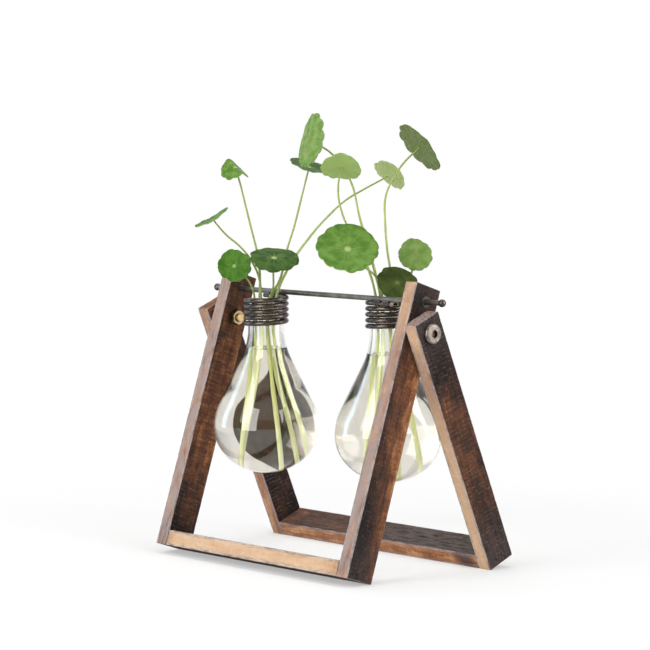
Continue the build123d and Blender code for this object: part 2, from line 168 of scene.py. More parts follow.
# Cuttings
STEM_RADIUS = 1.0 * MM
STEM_FOOT_GAP = 0.3 * MM
STEM_FOOT_SCALE = 1.12
STEM_TIP_SCALE = 0.52
STEM_STEPS = 90
STEM_SIDES = 12
STEM_SWELL = (0.92, 1.08)
LEAF_THICK = 0.55 * MM
LEAF_CUP = 0.9 * MM
LEAF_SCALLOP = 0.055
LEAF_WAVE = 0.09
LEAF_NOTCH_POWER = 0.55
LEAF_RIM_POWER = 4.0
LEAF_RIM_UNEVEN = 0.22
LEAF_FURROW = 0.35
LEAF_CREASE_SOFT = 0.15
LEAF_RINGS = 22
LEAF_SPOKES = 109

# Each cutting in mm from the centre of its vase's mouth: its place in the neck, its foot, the stem above
# the mouth, then its leaf's centre, facing and radius. The leaf is bent along its crease by its fold in
# degrees, upwards if positive. In the neck each stem is upright from one height to another.
STEM_NECK_FROM = -33.0
STEM_NECK_TO = 1.0
CUTTINGS = {
    "left_1": {
        "neck": (-3.2, -1.2), "foot": (-12, -5),
        "stem": [(-5, -1, 13), (-9, -4, 24), (-13, -8, 31), (-19, -15, 39)],
        "leaf": (-23.2, -20.2, 46.8), "facing": (-0.27, -0.42, 0.87), "radius": 11.5,
        "crease": (0.74, -0.67, 0.0), "fold": 8, "lobes": 10, "finish": "fresh",
    },
    "left_2": {
        "neck": (-6.2, 0.4), "foot": (-15, -1.5),
        "stem": [(-8, 2, 16), (-10, 2, 27), (-12, -1, 42), (-15, -3, 56), (-16, -6, 68)],
        "leaf": (-18, -8, 77), "facing": (0.39, -0.22, 0.89), "radius": 10.0,
        "crease": (0.96, -0.28, 0.0), "fold": -45, "lobes": 9, "finish": "mid",
    },
    "left_3": {
        "neck": (-5.4, -4.2), "foot": (-9.5, -7),
        "stem": [(-5, -5.5, 6), (-5.5, -9.5, 13)],
        "leaf": (-10.3, -15.4, 20.5), "facing": (0.70, -0.63, 0.32), "radius": 9.8,
        "crease": (0.0, 0.0, 1.0), "fold": 4, "lobes": 12, "finish": "fresh",
    },
    "left_4": {
        "neck": (-0.4, 2.2), "foot": (3, 7),
        "stem": [(1, 4, 6), (3, 3, 17)],
        "leaf": (6, 1, 25), "facing": (0.35, -0.25, 0.90), "radius": 14.5,
        "crease": (0.67, 0.74, 0.0), "fold": -8, "lobes": 10, "finish": "deep",
    },
    "left_5": {
        "neck": (-2.4, 5.5), "foot": (4, 15),
        "stem": [(0, 11, 13), (0, 16, 29), (2, 20, 43), (4, 23, 57)],
        "leaf": (7, 27, 77), "facing": (0.34, 0.04, 0.94), "radius": 12.0,
        "crease": (-0.74, 0.67, 0.0), "fold": 5, "lobes": 10, "finish": "deep",
    },
    "left_6": {
        "neck": (1.4, 6.3), "foot": (10, 17),
        "stem": [(4, 13, 18), (8, 27, 37), (14, 36, 49), (20, 44, 58), (27, 51, 64)],
        "leaf": (37, 61.8, 71.8), "facing": (0.04, 0.75, 0.66), "radius": 11.0,
        # Its light finish paints this leaf's underside paler: painted light where it stands in shade.
        "crease": (0.52, 0.57, -0.64), "fold": 10, "lobes": 11, "finish": "light",
    },
    "right_1": {
        "neck": (-6.2, 0.4), "foot": (-12, 2.5),
        "stem": [(-13, 0, 24), (-20, -3, 48), (-29.5, -3, 72), (-36, -11, 86)],
        "leaf": (-40.4, -23, 93), "facing": (-0.29, -0.92, 0.23), "radius": 15.5,
        "crease": (0.0, 0.0, 1.0), "fold": -10, "lobes": 12, "finish": "pale",
    },
    "right_2": {
        "neck": (-6.0, -3.4), "foot": (-10.2, -4.2),
        "stem": [(-13, -4, 22), (-19.5, -11, 41), (-23, -15, 54), (-24.5, -16, 65)],
        "leaf": (-24.4, -14, 78.5), "facing": (-0.39, 0.48, 0.79), "radius": 12.0,
        "crease": (-0.74, 0.67, 0.0), "fold": -18, "lobes": 10, "finish": "mid",
    },
    "right_3": {
        "neck": (-3.2, -1.2), "foot": (-7, -4.5),
        "stem": [(-5, -1, 9), (-6.5, -4, 17), (-9.5, -11, 23)],
        "leaf": (-9.8, -22.3, 32.4), "facing": (0.61, -0.42, 0.66), "radius": 17.5,
        "crease": (0.67, 0.74, 0.0), "fold": 4, "lobes": 15, "finish": "mid",
    },
    "right_4": {
        "neck": (1.4, 6.3), "foot": (6, 14),
        "stem": [(4.5, 3.5, 8)],
        "leaf": (8, -1, 13.5), "facing": (0.67, -0.33, 0.66), "radius": 12.0,
        "crease": (0.67, 0.74, 0.0), "fold": -6, "lobes": 10, "finish": "olive",
    },
    "right_5": {
        "neck": (-2.4, 5.5), "foot": (-7, 12),
        "stem": [(-2, 12, 8), (-2, 19, 16)],
        "leaf": (-1.4, 22, 28), "facing": (0.75, -0.54, 0.37), "radius": 9.8,
        "crease": (0.0, 0.0, 1.0), "fold": 0, "lobes": 12, "finish": "pale",
    },
    "right_6": {
        "neck": (-0.4, 2.2), "foot": (-2, 5),
        "stem": [
            (-1.2, 2.8, 19), (-4, 3, 31), (-7, 4, 48), (-7.5, 5, 62), (-5.5, 9, 72), (-2, 13, 80),
        ],
        "leaf": (3.6, 20, 89), "facing": (0.25, 0.74, 0.59), "radius": 16.5,
        "crease": (0.44, 0.49, -0.75), "fold": -2, "lobes": 12, "finish": "olive",
    },
}
SINKS_WITH_BULB = {"left_1": "cuttings_left", "left_2": "cuttings_left", "right_6": "cuttings_right"}

# How far each side of a board is charred, from its foot or left end (0) to its top or right end (1), as
# stops of (share, char, ash). A slope makes the rear of a side lighter or darker, most at its foot, and
# sawn says how clear the saw marks of a side are.
SLOPE_AT_FOOT = 1.6
NARROW_SAWN = 0.2
WIDE_SAWN = 0.8
PLAIN = [(0.0, 0.60, 0.2), (1.0, 0.55, 0.2)]
BOARD_FINISH = {
    "front_leg_left": {
        "front": [(0.0, 0.40, 0.7), (0.06, 0.60, 0.9), (0.14, 0.34, 1.0), (1.0, 0.28, 1.0)],
        "inner": [
            (0.0, 0.95, 0.0), (0.12, 0.78, 0.0), (0.40, 0.55, 0.0), (0.75, 0.58, 0.0), (1.0, 0.70, 0.0),
        ],
        "outer": [(0.0, 0.95, 0.1), (0.30, 0.70, 0.0), (0.70, 0.75, 0.0), (1.0, 0.95, 0.1)],
        "slope": {"inner": -0.08, "outer": -0.15},
    },
    "front_leg_right": {
        "front": [
            (0.0, 0.20, 0.4), (0.05, 0.50, 0.9), (0.15, 0.34, 1.0), (0.55, 0.32, 0.9), (0.85, 0.24, 0.5),
            (0.92, 0.24, 0.4), (1.0, 0.22, 0.3),
        ],
        "inner": [(0.0, 0.85, 0.0), (0.50, 0.65, 0.0), (1.0, 0.80, 0.0)],
        "outer": [
            (0.0, 0.98, 0.1), (0.18, 0.78, 0.0), (0.45, 0.60, 0.0), (0.75, 0.52, 0.0), (0.90, 0.78, 0.0),
            (1.0, 0.96, 0.1),
        ],
        "slope": {"inner": -0.05, "outer": -0.22},
        "sawn": {"outer": 0.35},
    },
    "rear_leg_left": {
        "front": [(0.0, 0.35, 0.2), (1.0, 0.34, 0.5)],
        "inner": [(0.0, 0.97, 0.0), (0.40, 0.92, 0.0), (1.0, 0.55, 0.0)],
        "outer": [(0.0, 0.98, 0.1), (0.30, 0.68, 0.0), (0.70, 0.72, 0.0), (1.0, 0.98, 0.2)],
        "slope": {"inner": 0.05},
    },
    "rear_leg_right": {
        "front": [
            (0.0, 0.05, 0.1), (0.40, 0.06, 0.1), (0.62, 0.10, 0.2), (0.75, 0.26, 0.6), (0.88, 0.20, 0.5),
            (0.94, 0.12, 0.1), (1.0, 0.20, 0.4),
        ],
        "inner": [(0.0, 0.90, 0.0), (0.50, 0.80, 0.0), (1.0, 0.70, 0.0)],
        "outer": [
            (0.0, 1.00, 0.15), (0.12, 0.94, 0.1), (0.25, 0.76, 0.0), (0.45, 0.62, 0.0), (0.62, 0.68, 0.0),
            (0.78, 0.95, 0.0), (1.0, 1.10, 0.15),
        ],
        "ends": [(0.0, 0.70, 0.4), (1.0, 0.55, 0.8)],
        "slope": {"outer": 0.05},
    },
    "front_crossbar": {
        "front": [(0.0, 0.22, 0.3), (0.05, 0.05, 0.15), (0.90, 0.07, 0.1), (1.0, 0.18, 0.2)],
        "top": [(0.0, 0.85, 0.1), (0.50, 0.70, 0.0), (1.0, 0.85, 0.1)],
        "under": [(0.0, 0.88, 0.1), (1.0, 0.88, 0.1)],
    },
    "rear_crossbar": {
        "front": [
            (0.0, 0.34, 0.1), (0.50, 0.32, 0.1), (0.88, 0.40, 0.0), (0.94, 0.75, 0.2), (1.0, 0.25, 0.1),
        ],
        "top": [(0.0, 0.66, 0.1), (0.45, 0.82, 0.2), (0.65, 1.20, 0.3), (1.0, 1.20, 0.3)],
        "under": [(0.0, 0.85, 0.1), (1.0, 0.90, 0.1)],
    },
}

# Camera, at the photograph's place, with the floor and the room's light
CAMERA_PLACE = Vector((1.15413, -1.03507, 0.25458))
CAMERA_FORWARD = Vector((-0.74046, 0.66769, -0.07685))
CAMERA_RIGHT = Vector((0.670, 0.743, 0.0))
CAMERA_LENS = 150.86
CAMERA_SENSOR = 36.0
CAMERA_REACH = 50.0
MIDDLE = Vector((0.0, 0.0, 0.11))
FLOOR_REACH = 6.0
FLOOR_FADE_FROM = 0.13
FLOOR_FADE_TO = 0.40
FLOOR_WHITE = (0.98, 0.98, 0.98, 1.0)
AMBIENT = 0.50
DIM_ROOM = (1.0, 0.62, 0.38, 1.0)
SKY_BLUE = (0.50, 0.78, 1.0)


# Node helpers

class Value:
    """An output of a node. A sum written with values makes the nodes that work it out."""

    def __init__(self, tree, socket):
        self.tree = tree
        self.socket = socket

    def calc(self, operation, *others):
        """One step of arithmetic, with this value first."""
        return add(self.tree, "ShaderNodeMath", dict(enumerate((self, *others))), operation=operation)

    def __add__(self, other):
        return self.calc("ADD", other)

    def __sub__(self, other):
        return self.calc("SUBTRACT", other)

    def __rsub__(self, other):
        return self.calc("MULTIPLY_ADD", -1.0, other)

    def __mul__(self, other):
        return self.calc("MULTIPLY", other)

    def __truediv__(self, other):
        return self.calc("DIVIDE", other)

    def __abs__(self):
        return self.calc("ABSOLUTE")


def fill(tree, sockets, values):
    """Set inputs by name or number: a value is linked, a constant is written in."""
    for key, value in values.items():
        if isinstance(value, Value):
            tree.links.new(value.socket, sockets[key])
        else:
            sockets[key].default_value = value


def new_node(tree, kind, inputs=None, **settings):
    """A node with its settings and inputs."""
    made = tree.nodes.new(kind)
    for name, value in settings.items():
        setattr(made, name, value)
    fill(tree, made.inputs, inputs or {})
    return made


def add(tree, kind, inputs=None, output=0, **settings):
    """One output of a new node."""
    return Value(tree, new_node(tree, kind, inputs, **settings).outputs[output])


def add_all(tree, kind, inputs=None, **settings):
    """The outputs of a new node by name."""
    made = new_node(tree, kind, inputs, **settings)
    return {socket.name: Value(tree, socket) for socket in made.outputs}


def smooth(value, low, high, at_low=0.0, at_high=1.0):
    """A value eased from one level to another between two limits."""
    inputs = {"Value": value, "From Min": low, "From Max": high, "To Min": at_low, "To Max": at_high}
    return add(value.tree, "ShaderNodeMapRange", inputs, interpolation_type="SMOOTHSTEP")


def combined(tree, x, y, z=0.0):
    """A vector from its axes."""
    return add(tree, "ShaderNodeCombineXYZ", {0: x, 1: y, 2: z})


def axes_of(vector):
    """The axes of a vector by name."""
    return add_all(vector.tree, "ShaderNodeSeparateXYZ", {0: vector})


def scaled(vector, scale):
    """A vector stretched along each axis."""
    return add(vector.tree, "ShaderNodeVectorMath", {0: vector, 1: scale}, operation="MULTIPLY")


def length(vector):
    """How long a vector is."""
    return add(vector.tree, "ShaderNodeVectorMath", {0: vector}, "Value", operation="LENGTH")


def dot(vector, direction):
    """How far a vector reaches in a direction."""
    inputs = {0: vector, 1: direction}
    return add(vector.tree, "ShaderNodeVectorMath", inputs, "Value", operation="DOT_PRODUCT")


def cloud(vector, scale, detail=3.0, rough=0.5):
    """Soft noise from 0 to 1."""
    inputs = {"Vector": vector, "Scale": scale, "Detail": detail, "Roughness": rough}
    return add(vector.tree, "ShaderNodeTexNoise", inputs, "Fac")


def blend(factor, first, second):
    """Two colours mixed by a factor."""
    return add(factor.tree, "ShaderNodeMix", {0: factor, 6: first, 7: second}, 2, data_type="RGBA")


def ramp(value, stops):
    """A colour read from a list of (place, colour)."""
    made = new_node(value.tree, "ShaderNodeValToRGB", {"Fac": value})
    elements = made.color_ramp.elements
    while len(elements) < len(stops):
        elements.new(1.0)
    for element, (place, colour) in zip(elements, stops):
        element.position = place
        element.color = colour
    return Value(value.tree, made.outputs["Color"])


def paint(red, green, blue):
    """A screen colour, 0 to 255, as the linear colour that a shader takes."""
    def linear(value):
        share = value / 255
        if share <= 0.04045:
            return share / 12.92
        return ((share + 0.055) / 1.055) ** 2.4
    return (linear(red), linear(green), linear(blue), 1.0)


def new_group(name, kind, inputs, outputs):
    """An empty node group with named sockets, the values given to it and its result's inputs."""
    tree = bpy.data.node_groups.new(name, kind)
    for sockets, way in ((inputs, "INPUT"), (outputs, "OUTPUT")):
        for socket, sort in sockets.items():
            tree.interface.new_socket(socket, in_out=way, socket_type="NodeSocket" + sort)
    return tree, add_all(tree, "NodeGroupInput"), new_node(tree, "NodeGroupOutput").inputs


def placed(tree, group, inputs):
    """The outputs of a shader group that is placed in a material with its own values."""
    return add_all(tree, "ShaderNodeGroup", inputs, node_tree=group)


def new_material(name):
    """A material with its Principled shader."""
    made = bpy.data.materials.new(name)
    made.use_nodes = True
    return made, made.node_tree, made.node_tree.nodes["Principled BSDF"].inputs


def object_place(tree):
    """The place on the object that a pattern reads."""
    return add(tree, "ShaderNodeTexCoord", output="Object")


def attribute(tree, name, output="Fac"):
    """A value that the mesh carries."""
    return add(tree, "ShaderNodeAttribute", output=output, attribute_name=name)


def relief(height, depth):
    """A normal bumped by a height."""
    inputs = {"Strength": 1.0, "Distance": depth, "Height": height}
    return add(height.tree, "ShaderNodeBump", inputs, "Normal")


# Shader groups

def charred_board_group():
    """Charred and brushed board: colour, roughness and relief from its place in mm and its char."""
    tree, given, result = new_group(
        "charred_board", "ShaderNodeTree",
        {"Place": "Vector", "Char": "Float", "Ash": "Float", "Sawn": "Float", "Edge": "Float"},
        {"Color": "Color", "Roughness": "Float", "Height": "Float"},
    )
    place = given["Place"]
    streak = cloud(scaled(place, (0.05, 1.0, 1.0)), 0.60, 5.0, 0.65)
    patch = cloud(scaled(place, (0.06, 0.16, 0.16)), 1.0, 4.0, 0.6)
    cross = cloud(scaled(place, (1.0, 0.12, 0.12)), 0.50, 4.0, 0.7)
    grit = cloud(place, 0.80, 4.0, 0.7)

    # Saw marks: lines across the board, and broken rows of teeth that lean a little
    lines = (cross - 0.5) * given["Sawn"]
    axes = axes_of(place)
    wander = cloud(scaled(place, (0.10, 0.35, 0.35)), 1.0, 2.0)
    leaning = axes["Y"] * 0.14 + axes["X"]
    tooth = smooth((wander * 5.0 + leaning * 2.6).calc("SINE"), 0.50, 0.98)
    dashes = smooth(cloud(scaled(place, (0.5, 0.32, 0.32)), 1.0, 3.0, 0.65), 0.48, 0.62)
    saw = tooth * dashes

    # Char: uneven, and calmer where the board is pale
    uneven_char = (streak - 0.5) * 0.60 + (patch - 0.5) * 0.85 + (grit - 0.5) * 0.50
    calm = smooth(given["Char"], 0.05, 0.45, 0.40, 1.0)
    char = uneven_char * calm + given["Char"] + lines * 0.75
    colour = ramp(char, [
        (0.0, paint(232, 200, 166)), (0.16, paint(212, 168, 126)), (0.34, paint(168, 112, 74)),
        (0.55, paint(108, 70, 51)), (0.76, paint(70, 51, 44)), (1.0, paint(34, 31, 31)),
    ])

    # Over the char: ash, bright saw marks, flecks, worn edges and scorched chips
    ash_mask = smooth(cloud(scaled(place, (0.10, 0.6, 0.6)), 1.0, 4.0, 0.6), 0.25, 0.60)
    fleck = smooth(cloud(scaled(place, (0.55, 1.2, 1.2)), 1.1, 2.0), 0.64, 0.74)
    worn = smooth(grit, 0.36, 0.58, 0.30, 1.0)
    scorch = smooth(cloud(scaled(place, (0.16, 0.9, 0.9)), 1.0, 4.0, 0.65), 0.50, 0.56)
    for mask, over in (
        (given["Ash"] * ash_mask, paint(167, 151, 146)),
        (saw * given["Sawn"] * 0.36, paint(158, 126, 106)),
        (fleck * 0.35, paint(178, 128, 92)),
        (given["Edge"] * worn, paint(190, 184, 186)),
        (given["Edge"] * scorch, paint(82, 68, 66)),
    ):
        colour = blend(mask, colour, over)
    fill(tree, result, {
        "Color": colour,
        "Roughness": smooth(streak, 0.2, 0.8, 0.88, 0.68),
        "Height": saw * 0.6 + streak * 0.8 + grit * 0.6 + lines * 0.8,
    })
    return tree


def mottle_group():
    """Uneven finish: a broad mask of blotches, a fine mask of grit and a height."""
    tree, given, result = new_group(
        "mottle", "ShaderNodeTree",
        {"Place": "Vector", "Blotches": "Float", "Grit": "Float"},
        {"Blotch": "Float", "Fine": "Float", "Height": "Float"},
    )
    broad = cloud(given["Place"], given["Blotches"], 4.0, 0.6)
    fine = cloud(given["Place"], given["Grit"], 3.0, 0.6)
    fill(tree, result, {
        "Blotch": smooth(broad, 0.32, 0.68),
        "Fine": smooth(fine, 0.30, 0.70),
        "Height": broad * 0.5 + fine,
    })
    return tree


def leaf_vein_group():
    """Veins of a round leaf, from its own polar place: main and side veins, and a fine net."""
    tree, given, result = new_group(
        "leaf_veins", "ShaderNodeTree",
        {"Place": "Vector", "Lobes": "Float"},
        {"Vein": "Float", "Net": "Float", "Share": "Float"},
    )
    axes = axes_of(given["Place"])
    flat = combined(tree, axes["X"], axes["Y"])
    share = length(flat)
    bent = cloud(flat, 2.2, 2.0) - 0.5
    angle = bent * 0.30 + axes["Y"].calc("ARCTAN2", axes["X"])
    half_lobes = angle * given["Lobes"] * 0.5
    width = smooth(share, 0.0, 1.0, 0.13, 0.05)
    across_main = abs(half_lobes.calc("COSINE")) * share
    main = 1.0 - smooth(across_main / width, 0.25, 1.0)
    across_side = abs((half_lobes * 3.0).calc("COSINE")) * share
    side = (1.0 - smooth(across_side, 0.03, 0.14)) * smooth(share, 0.50, 0.72, 0.0, 0.55)
    inputs = {"Vector": flat, "Scale": 11.0}
    from_net = add(tree, "ShaderNodeTexVoronoi", inputs, "Distance", feature="DISTANCE_TO_EDGE")
    fill(tree, result, {
        "Vein": main.calc("MAXIMUM", side),
        "Net": smooth(from_net, 0.0, 0.10, 1.0, 0.0),
        "Share": share,
    })
    return tree


CHARRED = charred_board_group()
MOTTLE = mottle_group()
VEINS = leaf_vein_group()


# Materials

def charred_wood():
    """The boards' finish, from what their points and corners carry."""
    made, tree, shader = new_material("charred_wood")
    inputs = {"Place": attribute(tree, "board_place", "Vector")}
    for name in ("Char", "Ash", "Sawn", "Edge"):
        inputs[name] = attribute(tree, name.lower())
    board = placed(tree, CHARRED, inputs)
    fill(tree, shader, {
        "Base Color": board["Color"],
        "Roughness": board["Roughness"],
        "Normal": relief(board["Height"], depth=0.22 * MM),
        "Specular IOR Level": 0.07,
    })
    return made


def uneven(name, low, high, rough, blotches, grit, depth, metallic=1.0):
    """A finish whose colour and roughness vary in blotches, with fine grit."""
    made, tree, shader = new_material(name)
    mottle = placed(tree, MOTTLE, {"Place": object_place(tree), "Blotches": blotches, "Grit": grit})
    fill(tree, shader, {
        "Base Color": blend(mottle["Blotch"], low, high),
        "Roughness": smooth(mottle["Fine"], 0.0, 1.0, *rough),
        "Normal": relief(mottle["Height"], depth),
        "Metallic": metallic,
    })
    return made


def turned_steel():
    """Satin steel with fine turning rings about the pivot line, dark brown painted shade in its socket and
    a brassy tip.
    """
    made, tree, shader = new_material("turned_steel")
    place = object_place(tree)
    axes = axes_of(place)
    radius = length(combined(tree, axes["Y"], axes["Z"] - PIVOT.z))
    rings = (radius * (2 * math.pi / TURNING_PITCH)).calc("SINE")
    mottle = placed(tree, MOTTLE, {"Place": place, "Blotches": 320.0, "Grit": 2600.0})
    colour = blend(mottle["Blotch"], paint(94, 87, 81), paint(132, 124, 117))
    out = abs(axes["X"])
    head = smooth(out, REAR_IN, REAR_IN + BOARD_THICK)
    # Painted shade: the socket recess in the bolt head is darkened to brown in its colour.
    socket = smooth(radius, SOCKET_RADIUS, SOCKET_RIM, 0.75, 0.0) * head
    colour = blend(socket, colour, paint(74, 50, 38))
    tip = smooth(out, FRONT_IN - BOLT_TIP, FRONT_IN, 1.0, 0.0)
    fill(tree, shader, {
        "Base Color": blend(tip, colour, paint(158, 134, 92)),
        "Roughness": smooth(mottle["Fine"], 0.0, 1.0, 0.30, 0.46),
        "Normal": relief(rings * 0.25 + mottle["Height"], depth=0.03 * MM),
        "Metallic": 1.0,
    })
    return made


def clear(name, colour, bend, ripple, depth):
    """Clear glass or water, its surface faintly uneven."""
    made, tree, shader = new_material(name)
    fill(tree, shader, {
        "Base Color": colour,
        "Roughness": 0.0,
        "IOR": bend,
        "Transmission Weight": 1.0,
        "Normal": relief(cloud(object_place(tree), ripple, 1.0), depth),
    })
    return made


def leaf_finish(name, dark, light, under, centre, lobes):
    """A waxy round leaf with pale veins that meet in its centre, lighter below."""
    made, tree, shader = new_material(name)
    veins = placed(tree, VEINS, {"Place": attribute(tree, "leaf_place", "Vector"), "Lobes": lobes})
    share = veins["Share"]
    blotch = cloud(object_place(tree), 210.0)
    below = 1.0 - attribute(tree, "leaf_upper")
    pale_green = [(a + b) / 2 for a, b in zip(light, centre)]
    colour = blend(smooth(blotch, 0.32, 0.68), dark, light)
    for mask, over in (
        (veins["Net"] * 0.12, light),
        (smooth(share, 0.90, 1.0, 0.0, 0.45), dark),
        (veins["Vein"] * smooth(share, 0.10, 0.95, 0.50, 0.10), pale_green),
        (smooth(share, 0.03, 0.16, 0.85, 0.0), centre),
        (below * 0.80, under),
    ):
        colour = blend(mask, colour, over)
    fill(tree, shader, {
        "Base Color": colour,
        "Roughness": smooth(blotch, 0.2, 0.8, 0.52, 0.40),
        "Normal": relief(veins["Vein"] * (below - 1.0), depth=0.10 * MM),
        "Specular IOR Level": 0.09,
    })
    return made


def stem_finish():
    """A stem, whitish at its foot and greener towards its leaf, its surface finely uneven."""
    made, tree, shader = new_material("stem")
    place = object_place(tree)
    patch = cloud(place, 180.0, 1.0)
    colour = ramp((patch - 0.5) * 0.10 + attribute(tree, "stem_share"), [
        (0.0, paint(226, 230, 184)), (0.30, paint(206, 216, 146)), (0.62, paint(178, 194, 112)),
        (1.0, paint(146, 166, 84)),
    ])
    fill(tree, shader, {
        "Base Color": colour,
        "Roughness": smooth(patch, 0.2, 0.8, 0.40, 0.55),
        "Normal": relief(cloud(place, 900.0, 2.0), depth=0.02 * MM),
        "Specular IOR Level": 0.25,
    })
    return made


WOOD = charred_wood()
ROD_IRON = uneven(
    "grey_iron", paint(106, 100, 94), paint(130, 124, 117), rough=(0.40, 0.50),
    blotches=160, grit=1900, depth=0.02 * MM,
)
COIL_IRON = uneven(
    "dark_iron", paint(72, 64, 60), paint(98, 90, 86), rough=(0.24, 0.34),
    blotches=160, grit=1900, depth=0.02 * MM,
)
BRAD_STEEL = uneven(
    "dark_brads", paint(38, 34, 32), paint(70, 62, 56), rough=(0.45, 0.65),
    blotches=700, grit=2600, depth=0.05 * MM,
)
BRASS = uneven(
    "brass", paint(98, 86, 64), paint(130, 116, 90), rough=(0.24, 0.40),
    blotches=300, grit=2400, depth=0.03 * MM,
)
BUSH = uneven(
    "black_bush", paint(22, 22, 22), paint(44, 43, 42), rough=(0.50, 0.70),
    blotches=500, grit=2600, depth=0.04 * MM, metallic=0.0,
)
STEEL = turned_steel()
GLASS = clear("clear_glass", paint(245, 244, 241), bend=1.47, ripple=70.0, depth=0.05 * MM)
WATER = clear("water", paint(249, 247, 242), bend=1.33, ripple=60.0, depth=0.01 * MM)
STEM = stem_finish()
# Leaf colours: two that the upper side varies between, the underside and the centre
LEAF_COLOURS = {
    "fresh": ((60, 108, 28), (88, 134, 48), (140, 168, 88), (176, 200, 124)),
    "mid": ((80, 122, 42), (112, 150, 66), (166, 190, 114), (178, 200, 126)),
    # The light finish is mid with a paler underside: painted light, for left_6's underside where it stands
    # in shade.
    "light": ((80, 122, 42), (112, 150, 66), (194, 210, 144), (178, 200, 126)),
    "deep": ((44, 78, 18), (72, 106, 38), (110, 140, 66), (186, 206, 140)),
    "pale": ((104, 142, 64), (136, 164, 90), (150, 176, 112), (136, 138, 76)),
    "olive": ((48, 64, 20), (72, 88, 34), (112, 130, 74), (112, 128, 66)),
}
leaf_materials = {}


def leaf_material(finish, lobes):
    """The leaf material of a finish and a number of lobes, made once."""
    name = f"leaf_{finish}_{lobes}"
    if name not in leaf_materials:
        colours = [paint(*colour) for colour in LEAF_COLOURS[finish]]
        leaf_materials[name] = leaf_finish(name, *colours, lobes)
    return leaf_materials[name]


# Geometry trees

def geometry_tree(name, inputs):
    """An empty geometry tree with named inputs."""
    return new_group(name, "GeometryNodeTree", inputs, {"Geometry": "Geometry"})


def position(tree):
    """Where each point lies."""
    return add(tree, "GeometryNodeInputPosition")


def spline_share(tree):
    """How far along its curve each point lies, from 0 to 1."""
    return add(tree, "GeometryNodeSplineParameter", output="Factor")


def resampled(curve, count):
    """A curve with a number of even points."""
    return add(curve.tree, "GeometryNodeResampleCurve", {"Curve": curve, "Count": count})


def moved(geometry, place):
    """A geometry with its points put at a place."""
    return add(geometry.tree, "GeometryNodeSetPosition", {"Geometry": geometry, "Position": place})


def stored(geometry, name, value, kind="FLOAT", domain="POINT"):
    """A geometry that keeps a value under a name."""
    inputs = {"Geometry": geometry, "Name": name, "Value": value}
    return add(geometry.tree, "GeometryNodeStoreNamedAttribute", inputs, data_type=kind, domain=domain)


def merged(geometry):
    """A geometry with its double points made one."""
    inputs = {"Geometry": geometry, "Distance": MERGE_DISTANCE}
    return add(geometry.tree, "GeometryNodeMergeByDistance", inputs)


def joined(*pieces):
    """Several geometries as one."""
    tree = pieces[0].tree
    made = new_node(tree, "GeometryNodeJoinGeometry")
    for piece in pieces:
        tree.links.new(piece.socket, made.inputs[0])
    return Value(tree, made.outputs[0])


def tube(path, radius, sides, scale=1.0):
    """A round, closed tube along a path."""
    inputs = {"Resolution": sides, "Radius": radius}
    ring = add(path.tree, "GeometryNodeCurvePrimitiveCircle", inputs)
    return add(path.tree, "GeometryNodeCurveToMesh", {
        "Curve": path, "Profile Curve": ring, "Scale": scale, "Fill Caps": True,
    })


def finished(geometry, material, result):
    """The end of every tree: real meshes, smooth, in their material."""
    tree = geometry.tree
    real = add(tree, "GeometryNodeRealizeInstances", {"Geometry": geometry})
    soft = add(tree, "GeometryNodeSetShadeSmooth", {"Geometry": real})
    dressed = add(tree, "GeometryNodeSetMaterial", {"Geometry": soft, "Material": material})
    fill(tree, result, {"Geometry": dressed})


def wound_wire_tree():
    """A wire with a straight lead along X, then right-handed turns that go down about Z."""
    tree, given, result = geometry_tree("wound_wire", {
        "Coil Radius": "Float", "Pitch": "Float", "Turns": "Float", "Lead": "Float",
        "Wire Radius": "Float", "Steps": "Int", "Material": "Material",
    })
    radius = given["Coil Radius"]
    line = resampled(add(tree, "GeometryNodeCurvePrimitiveLine"), given["Steps"])
    turn_length = radius * (2 * math.pi)
    whole_length = turn_length * given["Turns"] + given["Lead"]
    run = spline_share(tree) * whole_length - given["Lead"]
    wound = run.calc("MAXIMUM", 0.0)
    straight = run.calc("MINIMUM", 0.0)
    angle = math.pi / 2 - wound / radius
    x = angle.calc("COSINE") * radius + straight
    y = angle.calc("SINE") * radius
    z = wound / turn_length * given["Pitch"] * -1.0
    path = moved(line, combined(tree, x, y, z))
    finished(tube(path, given["Wire Radius"], WIRE_SIDES), given["Material"], result)
    return tree


def stem_tree():
    """A tapered tube along the host's curve, which remembers how far along it each point lies."""
    tree, given, result = geometry_tree("stem", {
        "Geometry": "Geometry", "Radius": "Float", "Foot": "Float", "Tip": "Float",
        "Steps": "Int", "Material": "Material",
    })
    share = spline_share(tree)
    path = stored(resampled(given["Geometry"], given["Steps"]), "stem_share", share)
    swell = smooth(cloud(position(tree), 90.0, 1.0), 0.3, 0.7, *STEM_SWELL)
    taper = smooth(share, 0.0, 1.0, given["Foot"], given["Tip"])
    finished(tube(path, given["Radius"], STEM_SIDES, taper * swell), given["Material"], result)
    return tree


